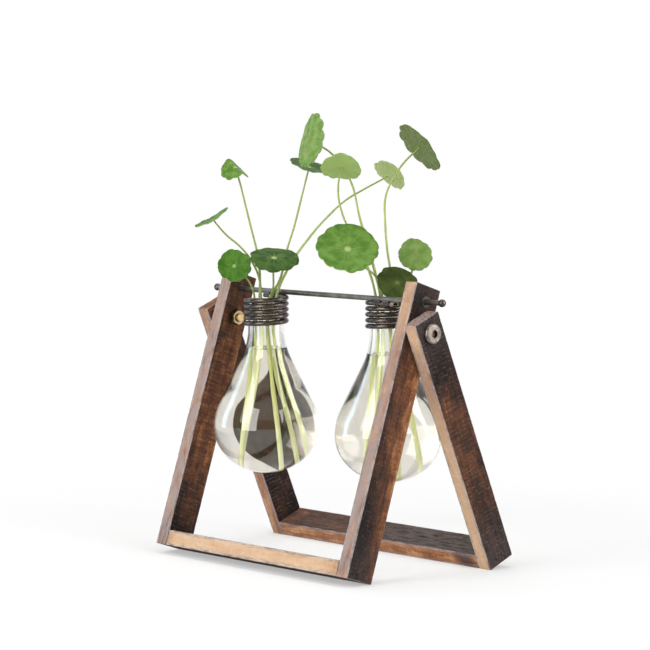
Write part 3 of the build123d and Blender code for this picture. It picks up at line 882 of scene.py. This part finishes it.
def round_leaf_tree():
    """A round leaf facing +Z: a thick polar grid with scalloped lobes, dished, waved and folded along X."""
    tree, given, result = geometry_tree("round_leaf", {
        "Radius": "Float", "Lobes": "Float", "Scallop": "Float", "Cup": "Float", "Wave": "Float",
        "Fold": "Float", "Thickness": "Float", "Seed": "Float", "Rings": "Int", "Spokes": "Int",
        "Material": "Material",
    })
    sheet = add(tree, "GeometryNodeMeshGrid", {
        "Size X": 1.0, "Size Y": 1.0, "Vertices X": given["Rings"], "Vertices Y": given["Spokes"],
    }, "Mesh")
    axes = axes_of(position(tree))
    share = axes["X"] + 0.5
    angle = (axes["Y"] + 0.5) * (2 * math.pi)
    across = angle.calc("COSINE") * share
    along = angle.calc("SINE") * share
    sheet = stored(sheet, "leaf_place", combined(tree, across, along), "FLOAT_VECTOR")

    # Rim: notched between the lobes and a little uneven
    lobe = abs((angle * (given["Lobes"] * 0.5)).calc("SINE"))
    notch = 1.0 - lobe.calc("POWER", LEAF_NOTCH_POWER)
    outer = share.calc("POWER", LEAF_RIM_POWER)
    seeded = combined(tree, across, along, given["Seed"])
    uneven_rim = (cloud(seeded, 1.7, 1.0) - 0.5) * LEAF_RIM_UNEVEN
    rim = uneven_rim * outer + (1.0 - notch * given["Scallop"] * outer)
    reach = rim * given["Radius"]
    x = across * reach
    y = along * reach

    # Height: dished, rippled and furrowed, then folded along the crease
    ripple = cloud(seeded, 2.6, 2.0) - 0.5
    furrow = lobe * -LEAF_FURROW + ripple
    rise = share * share * (given["Cup"] + furrow * given["Wave"])
    softness = given["Radius"] * LEAF_CREASE_SOFT
    off_crease = (y * y + softness * softness).calc("SQRT")
    lift = (off_crease - softness) * given["Fold"].calc("SINE")
    drawn_in = y * given["Fold"].calc("COSINE")
    sheet = merged(moved(sheet, combined(tree, x, drawn_in, rise + lift)))

    # Thickness: an upper sheet joined to its lower one
    upper = add_all(tree, "GeometryNodeExtrudeMesh", {
        "Mesh": sheet, "Offset Scale": given["Thickness"], "Individual": False,
    })
    top = stored(upper["Mesh"], "leaf_upper", upper["Top"], domain="FACE")
    lower = add(tree, "GeometryNodeFlipFaces", {"Mesh": sheet})
    finished(merged(joined(top, lower)), given["Material"], result)
    return tree


def brads_tree():
    """A brad at each of the host's points, facing away from the middle along X, with a domed head."""
    tree, given, result = geometry_tree("brads", {
        "Geometry": "Geometry", "Head Radius": "Float", "Head Depth": "Float",
        "Shank Radius": "Float", "Length": "Float", "Material": "Material",
    })

    def pin(sides, radius, depth):
        """An upright cylinder, its upper end at the origin."""
        inputs = {"Vertices": sides, "Radius": radius, "Depth": depth}
        solid = add(tree, "GeometryNodeMeshCylinder", inputs, "Mesh")
        down = combined(tree, 0.0, 0.0, depth * -0.5)
        return add(tree, "GeometryNodeTransform", {"Geometry": solid, "Translation": down})

    head = pin(BRAD_HEAD_SIDES, given["Head Radius"], given["Head Depth"])
    shank = pin(BRAD_SHANK_SIDES, given["Shank Radius"], given["Length"])
    ball = add(tree, "GeometryNodeMeshUVSphere", {
        "Segments": BRAD_HEAD_SIDES, "Rings": BRAD_DOME_RINGS, "Radius": given["Head Radius"],
    })
    dome = add(tree, "GeometryNodeTransform", {"Geometry": ball, "Scale": BRAD_DOME_SCALE})
    outward = scaled(position(tree), (1.0, 0.0, 0.0))
    facing = add(tree, "FunctionNodeAlignRotationToVector", {"Vector": outward}, axis="Z")
    copies = add(tree, "GeometryNodeInstanceOnPoints", {
        "Points": given["Geometry"], "Instance": joined(head, dome, shank), "Rotation": facing,
    })
    finished(copies, given["Material"], result)
    return tree


WOUND_WIRE = wound_wire_tree()
STEM_TREE = stem_tree()
ROUND_LEAF = round_leaf_tree()
BRADS = brads_tree()


# Meshes and pieces

def plain_mesh(host):
    """What a host's modifiers make, as a plain mesh. The host is removed."""
    depsgraph = bpy.context.evaluated_depsgraph_get()
    mesh = bpy.data.meshes.new_from_object(host.evaluated_get(depsgraph))
    bpy.data.objects.remove(host)
    return mesh


def grown(host, tree, values):
    """Run a geometry tree on a host object and return the result as a plain mesh."""
    scene.collection.objects.link(host)
    modifier = host.modifiers.new(tree.name, "NODES")
    modifier.node_group = tree
    for item in tree.interface.items_tree:
        if item.in_out == "INPUT" and item.name in values:
            modifier[item.identifier] = values[item.name]
    return plain_mesh(host)


def empty_host(name):
    """An object without points, for a tree that makes its own."""
    return bpy.data.objects.new(name, bpy.data.meshes.new(name))


def drafted(bm, name, *materials):
    """The mesh of a finished draft, in its materials."""
    mesh = bpy.data.meshes.new(name)
    bm.to_mesh(mesh)
    bm.free()
    for material in materials:
        mesh.materials.append(material)
    return mesh


def coat(mesh, material):
    """Give a mesh one material, in place of those it has."""
    mesh.materials.clear()
    mesh.materials.append(material)


def show(name, mesh, body, slot, *nodes):
    """A finished piece: it rides on a body and stands for its nodes, which it hides. Its slot is not used.
    """
    piece = bpy.data.objects.new(name, mesh)
    mesh.name = name
    scene.collection.objects.link(piece)
    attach(piece, body)
    if nodes:
        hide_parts(*nodes)
    return piece


# Stand boards

def between(stops, share):
    """Char and ash at a share of a board's length."""
    for (low, *first), (high, *second) in zip(stops, stops[1:]):
        if share <= high:
            step = (share - low) / (high - low)
            return [a + (b - a) * step for a, b in zip(first, second)]
    return list(stops[-1][1:])


def grid_lines(low, high):
    """Places of grid lines across a side: close together in its eased edges, even between them."""
    edge = [share * EDGE_EASE for share in EDGE_LINES]
    count = max(2, round((high - low) / BOARD_STEP))
    inner_low = low + EDGE_EASE
    inner_high = high - EDGE_EASE
    middle = [inner_low + (inner_high - inner_low) * step / count for step in range(1, count)]
    return [low + offset for offset in edge] + middle + [high - offset for offset in reversed(edge)]


def board_seed(name):
    """A number that sets a board's grain and chips apart from the others'."""
    return sum(map(ord, name))


def board_mesh(name, spans, long_axis):
    """A board with eased, chipped edges, which carries its finish and its place in mm."""
    lines = [grid_lines(*span) for span in spans]
    bm = bmesh.new()
    side_layer = bm.faces.layers.int.new("side")
    for axis in range(3):
        u, v = (axis + 1) % 3, (axis + 2) % 3
        for end in (0, 1):
            rows = []
            for first in lines[u]:
                row = []
                for second in lines[v]:
                    point = [0.0, 0.0, 0.0]
                    point[axis] = spans[axis][end]
                    point[u] = first
                    point[v] = second
                    row.append(bm.verts.new(point))
                rows.append(row)
            for here, there in zip(rows, rows[1:]):
                for i in range(len(here) - 1):
                    corners = [here[i], there[i], there[i + 1], here[i + 1]]
                    face = bm.faces.new(corners if end else corners[::-1])
                    face[side_layer] = 2 * axis + end
                    face.smooth = True
    bmesh.ops.remove_doubles(bm, verts=bm.verts, dist=SAME_POINT)
    mesh = drafted(bm, name)
    dress_board(mesh, name, spans, long_axis)
    ease_board(mesh, name, spans, long_axis)
    return mesh


def side_name(side, name):
    """What a side of a board is called in its finish."""
    axis, end = divmod(side, 2)
    if axis == 1:
        return "back" if end else "front"
    if "crossbar" in name:
        return ("top" if end else "under") if axis == 2 else "ends"
    if axis == 2:
        return "ends"
    return "outer" if (end == 1) == name.endswith("right") else "inner"


def dress_board(mesh, name, spans, long_axis):
    """Char, ash, saw marks and place of a board, written before its edges are eased."""
    finish = BOARD_FINISH[name]
    low, high = spans[long_axis]
    across_low, across_high = spans[1]
    place = mesh.attributes.new("board_place", "FLOAT_VECTOR", "POINT")
    offset = Vector((len(name) * 37.0, board_seed(name) % 101, 11.0))
    order = [long_axis, 1, 2 - long_axis]
    for vertex in mesh.vertices:
        local = Vector([vertex.co[axis] / MM for axis in order])
        place.data[vertex.index].vector = local + offset
    for layer in ("char", "ash", "sawn"):
        mesh.attributes.new(layer, "FLOAT", "CORNER")
    char, ash, sawn, sides = (mesh.attributes[layer] for layer in ("char", "ash", "sawn", "side"))
    for face in mesh.polygons:
        called = side_name(sides.data[face.index].value, name)
        stops = finish.get(called, PLAIN)
        slope = finish.get("slope", {}).get(called, 0.0)
        usual = NARROW_SAWN if called in ("front", "back") else WIDE_SAWN
        marks = finish.get("sawn", {}).get(called, usual)
        for corner in face.loop_indices:
            point = mesh.vertices[mesh.loops[corner].vertex_index].co
            share = (point[long_axis] - low) / (high - low)
            across = 2 * (point[1] - across_low) / (across_high - across_low) - 1
            burnt, grey = between(stops, share)
            char.data[corner].value = burnt + slope * across * (SLOPE_AT_FOOT - share)
            ash.data[corner].value = grey
            sawn.data[corner].value = marks
    mesh.attributes.remove(sides)


def ease_board(mesh, name, spans, long_axis):
    """Round the edges of a board, chip them unevenly and mark them for wear, along its narrow sides too."""
    thin = 2 - long_axis
    edge = mesh.attributes.new("edge", "FLOAT", "POINT")
    seed = Vector((board_seed(name) * 0.37, 0.0, 0.0))
    for vertex in mesh.vertices:
        point = vertex.co.copy()
        core = Vector([
            min(max(c, low + EDGE_EASE), high - EDGE_EASE) for c, (low, high) in zip(point, spans)
        ])
        out = point - core
        bands = sum(1 for c in out if abs(c) > IN_LINE)
        if bands > 1:
            nearness = sorted(abs(c) for c in out)[-2] / EDGE_EASE
            edge.data[vertex.index].value = nearness
            chip = noise.noise(point * CHIPS_PER_METRE + seed)
            chip += FINE_CHIP_SHARE * noise.noise(point * FINE_CHIPS_PER_METRE + seed)
            depth = EDGE_CHIP * max(0.0, chip) * nearness
            vertex.co = core + out.normalized() * (EDGE_EASE - depth)
        else:
            if abs(out.y) > 0:
                from_edge = min(point[thin] - spans[thin][0], spans[thin][1] - point[thin])
                edge.data[vertex.index].value = WORN_AT_EDGE * max(0.0, 1 - from_edge / WORN_WIDTH)
            ripple = noise.noise(point * RIPPLES_PER_METRE + seed) * BOARD_RIPPLE
            vertex.co = point - out.normalized() * (BOARD_RIPPLE + ripple)


def drilled(mesh, name, holes):
    """Cut round holes along X through a board."""
    host = bpy.data.objects.new(name + "_blank", mesh)
    scene.collection.objects.link(host)
    cutters = []
    for x, z, radius in holes:
        bm = bmesh.new()
        turn = Matrix.Translation((x, 0.0, z)) @ Matrix.Rotation(math.pi / 2, 4, "Y")
        bmesh.ops.create_cone(
            bm, cap_ends=True, segments=HOLE_SIDES, radius1=radius, radius2=radius,
            depth=3 * BOARD_THICK, matrix=turn,
        )
        cutter = bpy.data.objects.new(name + "_drill", drafted(bm, name + "_drill"))
        scene.collection.objects.link(cutter)
        cut = host.modifiers.new("hole", "BOOLEAN")
        cut.object = cutter
        cut.operation = "DIFFERENCE"
        cut.solver = "EXACT"
        cutters.append(cutter)
    cut_mesh = plain_mesh(host)
    for cutter in cutters:
        bpy.data.objects.remove(cutter)
    return cut_mesh


def stand_up(mesh, lean):
    """Lean a board about the pivot and plane off what would reach below the floor."""
    mesh.transform(Matrix.Translation(PIVOT) @ Matrix.Rotation(math.radians(lean), 4, "X"))
    for vertex in mesh.vertices:
        vertex.co.z = max(vertex.co.z, 0.0)


def board(name, end, spans, long_axis, holes=()):
    """One board of a frame, leaning in its place."""
    mesh = board_mesh(name, spans, long_axis)
    if holes:
        mesh = drilled(mesh, name, holes)
    stand_up(mesh, FRAMES[end]["lean"])
    coat(mesh, WOOD)
    shown_name = name.replace("leg", "upright").replace("crossbar", "rail")
    show(shown_name, mesh, f"{end}_frame", "charred_wood", name)


def leg(end, side, sign):
    """One leg of a frame, with its holes."""
    plan = FRAMES[end]
    thickness = sorted((sign * plan["inside"], sign * (plan["inside"] + BOARD_THICK)))
    height = (-plan["below"], plan["above"])
    holes = [(sum(thickness) / 2, *hole) for hole in plan["holes"]]
    board(f"{end}_leg_{side}", end, (thickness, BOARD_Y, height), 2, holes)


def crossbar(end):
    """The board between the feet of a frame's legs."""
    plan = FRAMES[end]
    width = (-plan["inside"], plan["inside"])
    height = (-plan["below"], -plan["below"] + BOARD_THICK)
    board(f"{end}_crossbar", end, (width, BOARD_Y, height), 0)


def brads(end):
    """The four brads of a frame, two in each leg's foot."""
    plan = FRAMES[end]
    out = plan["inside"] + BOARD_THICK + BRAD_PROUD
    places = []
    for x in (-out, out):
        for y in (-BRAD_SPACING / 2, BRAD_SPACING / 2):
            places.append((x, y, BOARD_THICK / 2 - plan["below"]))
    host = empty_host(f"{end}_brads")
    host.data.from_pydata(places, [], [])
    mesh = grown(host, BRADS, {
        "Head Radius": BRAD_HEAD, "Head Depth": BRAD_HEAD_DEPTH, "Shank Radius": BRAD_SHANK,
        "Length": BRAD_LENGTH, "Material": BRAD_STEEL,
    })
    stand_up(mesh, plan["lean"])
    show(f"{end}_brads", mesh, f"{end}_frame", "nail_steel", f"{end}_nails")


for side, sign in (("left", -1), ("right", 1)):
    for end in FRAMES:
        leg(end, side, sign)
for end in FRAMES:
    crossbar(end)
for end in FRAMES:
    brads(end)


# Metal pieces that keep their solids

def dress(node, material):
    """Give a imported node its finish."""
    coat(frame["nodes"][node].data, material)


for side in SIDES:
    dress(f"pivot_bolt_{side}", STEEL)
    dress(f"pivot_washer_{side}", STEEL)
    dress(f"pivot_nut_{side}", BRASS)
    dress(f"rod_bush_{side}", BUSH)
    dress(f"rod_ball_{side}", COIL_IRON)
dress("hanger_rod", ROD_IRON)
dress("hanger_welds", COIL_IRON)


# Wire coils

def hang(mesh, centre, side):
    """Put a piece under the rod. The right one is the left one turned half round."""
    turn = math.pi if side == "right" else 0.0
    mesh.transform(Matrix.Translation(centre) @ Matrix.Rotation(turn, 4, "Z"))


def wire_coil(side):
    """One coil with its lead under the rod."""
    mesh = grown(empty_host(f"coil_{side}"), WOUND_WIRE, {
        "Coil Radius": COIL_RADIUS, "Pitch": COIL_PITCH, "Turns": COIL_TURNS, "Lead": COIL_LEAD,
        "Wire Radius": WIRE_RADIUS, "Steps": COIL_STEPS, "Material": COIL_IRON,
    })
    hang(mesh, Vector((MOUTH[side].x, MOUTH[side].y, LEAD_Z)), side)
    show(f"coil_{side}", mesh, "hanger", "rod_iron", f"wire_coil_{side}")


# Glass bulbs and their water

def arc_points(centre, radius, start, end, count):
    """Points along a round stretch of an outline."""
    made = []
    for step in range(count + 1):
        angle = start + (end - start) * step / count
        made.append((centre[0] + radius * math.cos(angle), centre[1] + radius * math.sin(angle)))
    return made


def bulb_outline(inset, top):
    """A bulb's outline from its bottom on the axis up to a height in the neck, as (radius, height)."""
    neck = NECK_RADIUS - inset
    belly = BULB_RADIUS - inset
    depth = BULB_BOTTOM - inset
    bend = BELLY_BEND - inset
    turn_in = NECK_BEND + inset
    belly_corner = -EQUATOR_DEPTH + bend * math.tan(SHOULDER_ANGLE / 2)
    neck_corner = belly_corner + shoulder_drop / math.tan(SHOULDER_ANGLE)
    neck_end = neck_corner + turn_in * math.tan(SHOULDER_ANGLE / 2)
    points = []
    for step in range(BELLY_STEPS + 1):
        angle = -math.pi / 2 + math.pi / 2 * step / BELLY_STEPS
        points.append((belly * math.cos(angle), -EQUATOR_DEPTH + depth * math.sin(angle)))
    points[0] = (0.0, points[0][1])
    points += arc_points((belly - bend, -EQUATOR_DEPTH), bend, 0.0, SHOULDER_ANGLE, BELLY_BEND_STEPS)[1:]
    neck_centre = (neck + turn_in, neck_end)
    points += arc_points(neck_centre, turn_in, math.pi + SHOULDER_ANGLE, math.pi, NECK_BEND_STEPS)
    rows = max(1, round((top - neck_end) / NECK_STEP))
    points += [(neck, neck_end + (top - neck_end) * step / rows) for step in range(1, rows + 1)]
    return points


def thread_bead(angle, height):
    """How far the neck's thread stands out at a place on it, for the left bulb."""
    bead_top = LEAD_Z - COIL_PITCH / 2 - MOUTH["left"].z
    part = ((math.pi / 2 - angle) / (2 * math.pi)) % 1.0
    turn = part + round((bead_top - height) / COIL_PITCH - part)
    if not THREAD_FIRST_TURN <= turn <= THREAD_LAST_TURN:
        return 0.0
    from_end = min(turn - THREAD_FIRST_TURN, THREAD_LAST_TURN - turn)
    fade = min(1.0, from_end / THREAD_FADE_TURNS)
    miss = height - (bead_top - COIL_PITCH * turn)
    return fade * math.sqrt(max(0.0, THREAD_BEAD ** 2 - miss ** 2))


def turned(name, outline, material, swell=None, swelled=()):
    """A closed surface turned about Z from an outline that starts and ends on the axis."""
    bm = bmesh.new()
    rings = []
    for row, (radius, height) in enumerate(outline):
        if radius < SAME_POINT:
            rings.append([bm.verts.new((0.0, 0.0, height))])
            continue
        ring = []
        for step in range(TURNED_STEPS):
            angle = 2 * math.pi * step / TURNED_STEPS
            reach = radius + (swell(angle, height) if row in swelled else 0.0)
            ring.append(bm.verts.new((reach * math.cos(angle), reach * math.sin(angle), height)))
        rings.append(ring)
    for here, there in zip(rings, rings[1:]):
        for i in range(TURNED_STEPS):
            j = (i + 1) % TURNED_STEPS
            if len(here) == 1:
                corners = [here[0], there[j], there[i]]
            elif len(there) == 1:
                corners = [here[i], here[j], there[0]]
            else:
                corners = [here[i], here[j], there[j], there[i]]
            bm.faces.new(corners).smooth = True
    return drafted(bm, name, material)


def glass_bulb(side):
    """A blown bulb: outer wall with its thread, rounded rim, inner wall."""
    lip = GLASS_WALL / 2
    outer = bulb_outline(0.0, -lip)
    inner = bulb_outline(GLASS_WALL, -lip)
    rim = arc_points((NECK_RADIUS - lip, -lip), lip, 0.0, math.pi, LIP_STEPS)[1:-1]
    outline = outer + rim + inner[::-1]
    swelled = {row for row, (_, height) in enumerate(outer) if height > -THREAD_DEPTH}
    mesh = turned(f"bulb_{side}", outline, GLASS, thread_bead, swelled)
    hang(mesh, MOUTH[side], side)
    piece = show(f"bulb_{side}", mesh, f"bulb_{side}", "clear_glass", f"glass_bulb_{side}")
    piece.visible_shadow = False


def water(side):
    """The water in a bulb, just into the glass, with a raised rim where it meets it."""
    brim = -WATER_DEPTH + MENISCUS
    outline = bulb_outline(GLASS_WALL - WATER_INTO_GLASS, brim)
    wall = [point for point in outline if point[1] <= brim]
    edge = wall[-1][0]
    top = []
    for step in range(1, SURFACE_STEPS + 1):
        share = step / SURFACE_STEPS
        rise = MENISCUS * math.exp(-share * edge / MENISCUS_REACH)
        top.append((edge * (1 - share), -WATER_DEPTH + rise))
    mesh = turned(f"water_{side}", wall + top, WATER)
    mesh.transform(Matrix.Translation(MOUTH[side]))
    piece = show(f"water_{side}", mesh, f"bulb_{side}", "clear_glass")
    piece.visible_shadow = False


for side in SIDES:
    wire_coil(side)
    glass_bulb(side)
    water(side)


# Cuttings

def stem_mesh(name, points):
    """A stem through its points."""
    curve = bpy.data.curves.new(name, "CURVE")
    curve.dimensions = "3D"
    spline = curve.splines.new("BEZIER")
    spline.bezier_points.add(len(points) - 1)
    for point, place in zip(spline.bezier_points, points):
        point.co = place
        point.handle_left_type = "AUTO"
        point.handle_right_type = "AUTO"
    return grown(bpy.data.objects.new(name, curve), STEM_TREE, {
        "Radius": STEM_RADIUS, "Foot": STEM_FOOT_SCALE, "Tip": STEM_TIP_SCALE, "Steps": STEM_STEPS,
        "Material": STEM,
    })


def leaf_mesh(name, plan, centre, facing):
    """A leaf at its place, turned to its facing with its crease along the given direction."""
    radius = plan["radius"] * MM
    mesh = grown(empty_host(name), ROUND_LEAF, {
        "Radius": radius, "Lobes": float(plan["lobes"]), "Scallop": LEAF_SCALLOP, "Cup": LEAF_CUP,
        "Wave": LEAF_WAVE * radius, "Fold": math.radians(plan["fold"]), "Thickness": LEAF_THICK,
        "Seed": plan["radius"] + plan["lobes"], "Rings": LEAF_RINGS, "Spokes": LEAF_SPOKES,
        "Material": leaf_material(plan["finish"], plan["lobes"]),
    })
    crease = Vector(plan["crease"])
    crease = (crease - facing * crease.dot(facing)).normalized()
    turn = Matrix((crease, facing.cross(crease), facing)).transposed().to_4x4()
    mesh.transform(Matrix.Translation(centre) @ turn)
    return mesh


def foot_place(foot):
    """A stem's foot on the glass inside its bulb, from its place across in mm."""
    across = Vector((foot[0], foot[1], 0.0)) * MM
    belly = BULB_RADIUS - GLASS_WALL
    depth = BULB_BOTTOM - GLASS_WALL
    share = (across.length + STEM_RADIUS) / belly
    drop = EQUATOR_DEPTH + depth * math.sqrt(1 - share * share) - STEM_FOOT_GAP
    return across - Vector((0.0, 0.0, drop))


def cutting(key, plan):
    """One cutting, its stem and leaf joined."""
    side = key.split("_")[0]
    mouth = MOUTH[side]
    neck = plan["neck"]
    facing = Vector(plan["facing"]).normalized()
    centre = mouth + Vector(plan["leaf"]) * MM
    route = [(*neck, STEM_NECK_FROM), (*neck, STEM_NECK_TO), *plan["stem"]]
    points = [mouth + foot_place(plan["foot"])]
    points += [mouth + Vector(point) * MM for point in route]
    points.append(centre + facing * LEAF_THICK / 2)
    stem = stem_mesh(f"stem_{key}", points)
    leaf = leaf_mesh(f"leaf_{key}", plan, centre, facing)
    bm = bmesh.new()
    bm.from_mesh(stem)
    stem_faces = len(bm.faces)
    bm.from_mesh(leaf)
    bm.faces.ensure_lookup_table()
    for face in bm.faces[stem_faces:]:
        face.material_index = 1
    mesh = drafted(bm, f"pennywort_{key}", STEM, leaf_material(plan["finish"], plan["lobes"]))
    body = SINKS_WITH_BULB.get(key, "hanger")
    show(f"pennywort_{key}", mesh, body, "cutting_green", f"cutting_{key}")


for key, plan in CUTTINGS.items():
    cutting(key, plan)


# Floor, light and camera

def floor():
    """A plain white floor that keeps the object's shadow and fades to the white backdrop."""
    bm = bmesh.new()
    bmesh.ops.create_grid(bm, x_segments=1, y_segments=1, size=FLOOR_REACH)
    made, tree, shader = new_material("floor")
    fill(tree, shader, {"Base Color": FLOOR_WHITE, "Roughness": 0.9, "Specular IOR Level": 0.0})
    far = smooth(length(object_place(tree)), FLOOR_FADE_FROM, FLOOR_FADE_TO, 0.40, 1.0)
    light = add_all(tree, "ShaderNodeLightPath")
    seen = light["Is Camera Ray"].calc("MAXIMUM", light["Is Glossy Ray"])
    seen = seen.calc("MAXIMUM", light["Is Transmission Ray"])
    lit = Value(tree, tree.nodes["Principled BSDF"].outputs[0])
    white = add(tree, "ShaderNodeEmission", {"Color": WHITE, "Strength": 1.0})
    shown = add(tree, "ShaderNodeMixShader", {0: far * seen, 1: lit, 2: white})
    fill(tree, tree.nodes["Material Output"].inputs, {"Surface": shown})
    mesh = drafted(bm, "floor", made)
    piece = bpy.data.objects.new("floor", mesh)
    scene.collection.objects.link(piece)


def studio_world():
    """White behind the object. Glass and metal see grey beside it and a dim, warm room before it."""
    world = bpy.data.worlds.new("studio")
    scene.world = world
    world.use_nodes = True
    tree = world.node_tree
    direction = add(tree, "ShaderNodeTexCoord", output="Generated")
    aside = abs(dot(direction, CAMERA_RIGHT))
    before = smooth(dot(direction, CAMERA_FORWARD), -0.30, 0.15, 1.0, 0.0)
    glass_view = smooth(aside, 0.25, 0.80, 1.0, 0.58) * smooth(before, 0.0, 1.0, 1.0, 0.52)
    light = add_all(tree, "ShaderNodeLightPath")
    through = light["Is Glossy Ray"].calc("MAXIMUM", light["Is Transmission Ray"])
    other = through * (glass_view - AMBIENT) + AMBIENT
    fill(tree, tree.nodes["Background"].inputs, {
        "Color": blend(before * through, WHITE, DIM_ROOM),
        "Strength": other.calc("MAXIMUM", light["Is Camera Ray"]),
    })


def softbox(name, place, size, power, diffuse=True, glossy=True, colour=WHITE[:3]):
    """A rectangular lamp that faces the middle of the object."""
    lamp = bpy.data.lights.new(name, "AREA")
    lamp.shape = "RECTANGLE"
    lamp.size, lamp.size_y = size
    lamp.energy = power
    lamp.color = colour
    made = bpy.data.objects.new(name, lamp)
    made.location = place
    made.rotation_euler = (MIDDLE - Vector(place)).to_track_quat("-Z", "Y").to_euler()
    made.visible_diffuse = diffuse
    made.visible_glossy = glossy
    scene.collection.objects.link(made)


def camera():
    """The camera, where the photograph was taken from."""
    lens = bpy.data.cameras.new("camera")
    lens.lens = CAMERA_LENS
    lens.sensor_width = CAMERA_SENSOR
    lens.clip_end = CAMERA_REACH
    made = bpy.data.objects.new("camera", lens)
    made.location = CAMERA_PLACE
    made.rotation_euler = CAMERA_FORWARD.to_track_quat("-Z", "Y").to_euler()
    scene.collection.objects.link(made)
    scene.camera = made


floor()
studio_world()
softbox("key_left", (-0.10, -1.15, 0.75), size=(0.55, 0.95), power=8.0, glossy=False)
softbox("fill_right", (1.25, 0.05, 0.60), size=(0.40, 0.80), power=4.0)
softbox("overhead", (-0.10, 0.10, 1.30), size=(0.90, 0.90), power=5.0)
softbox("window_left", (0.19, -1.19, 0.36), size=(0.75, 1.40), power=16.0, diffuse=False)
softbox("window_right", (1.03, 0.61, 0.20), size=(0.90, 2.00), power=28.0, diffuse=False)
softbox("rim_left", (-1.03, -0.62, 0.30), size=(0.30, 1.40), power=5.0, diffuse=False, colour=SKY_BLUE)
camera()
scene.view_settings.view_transform = "Standard"
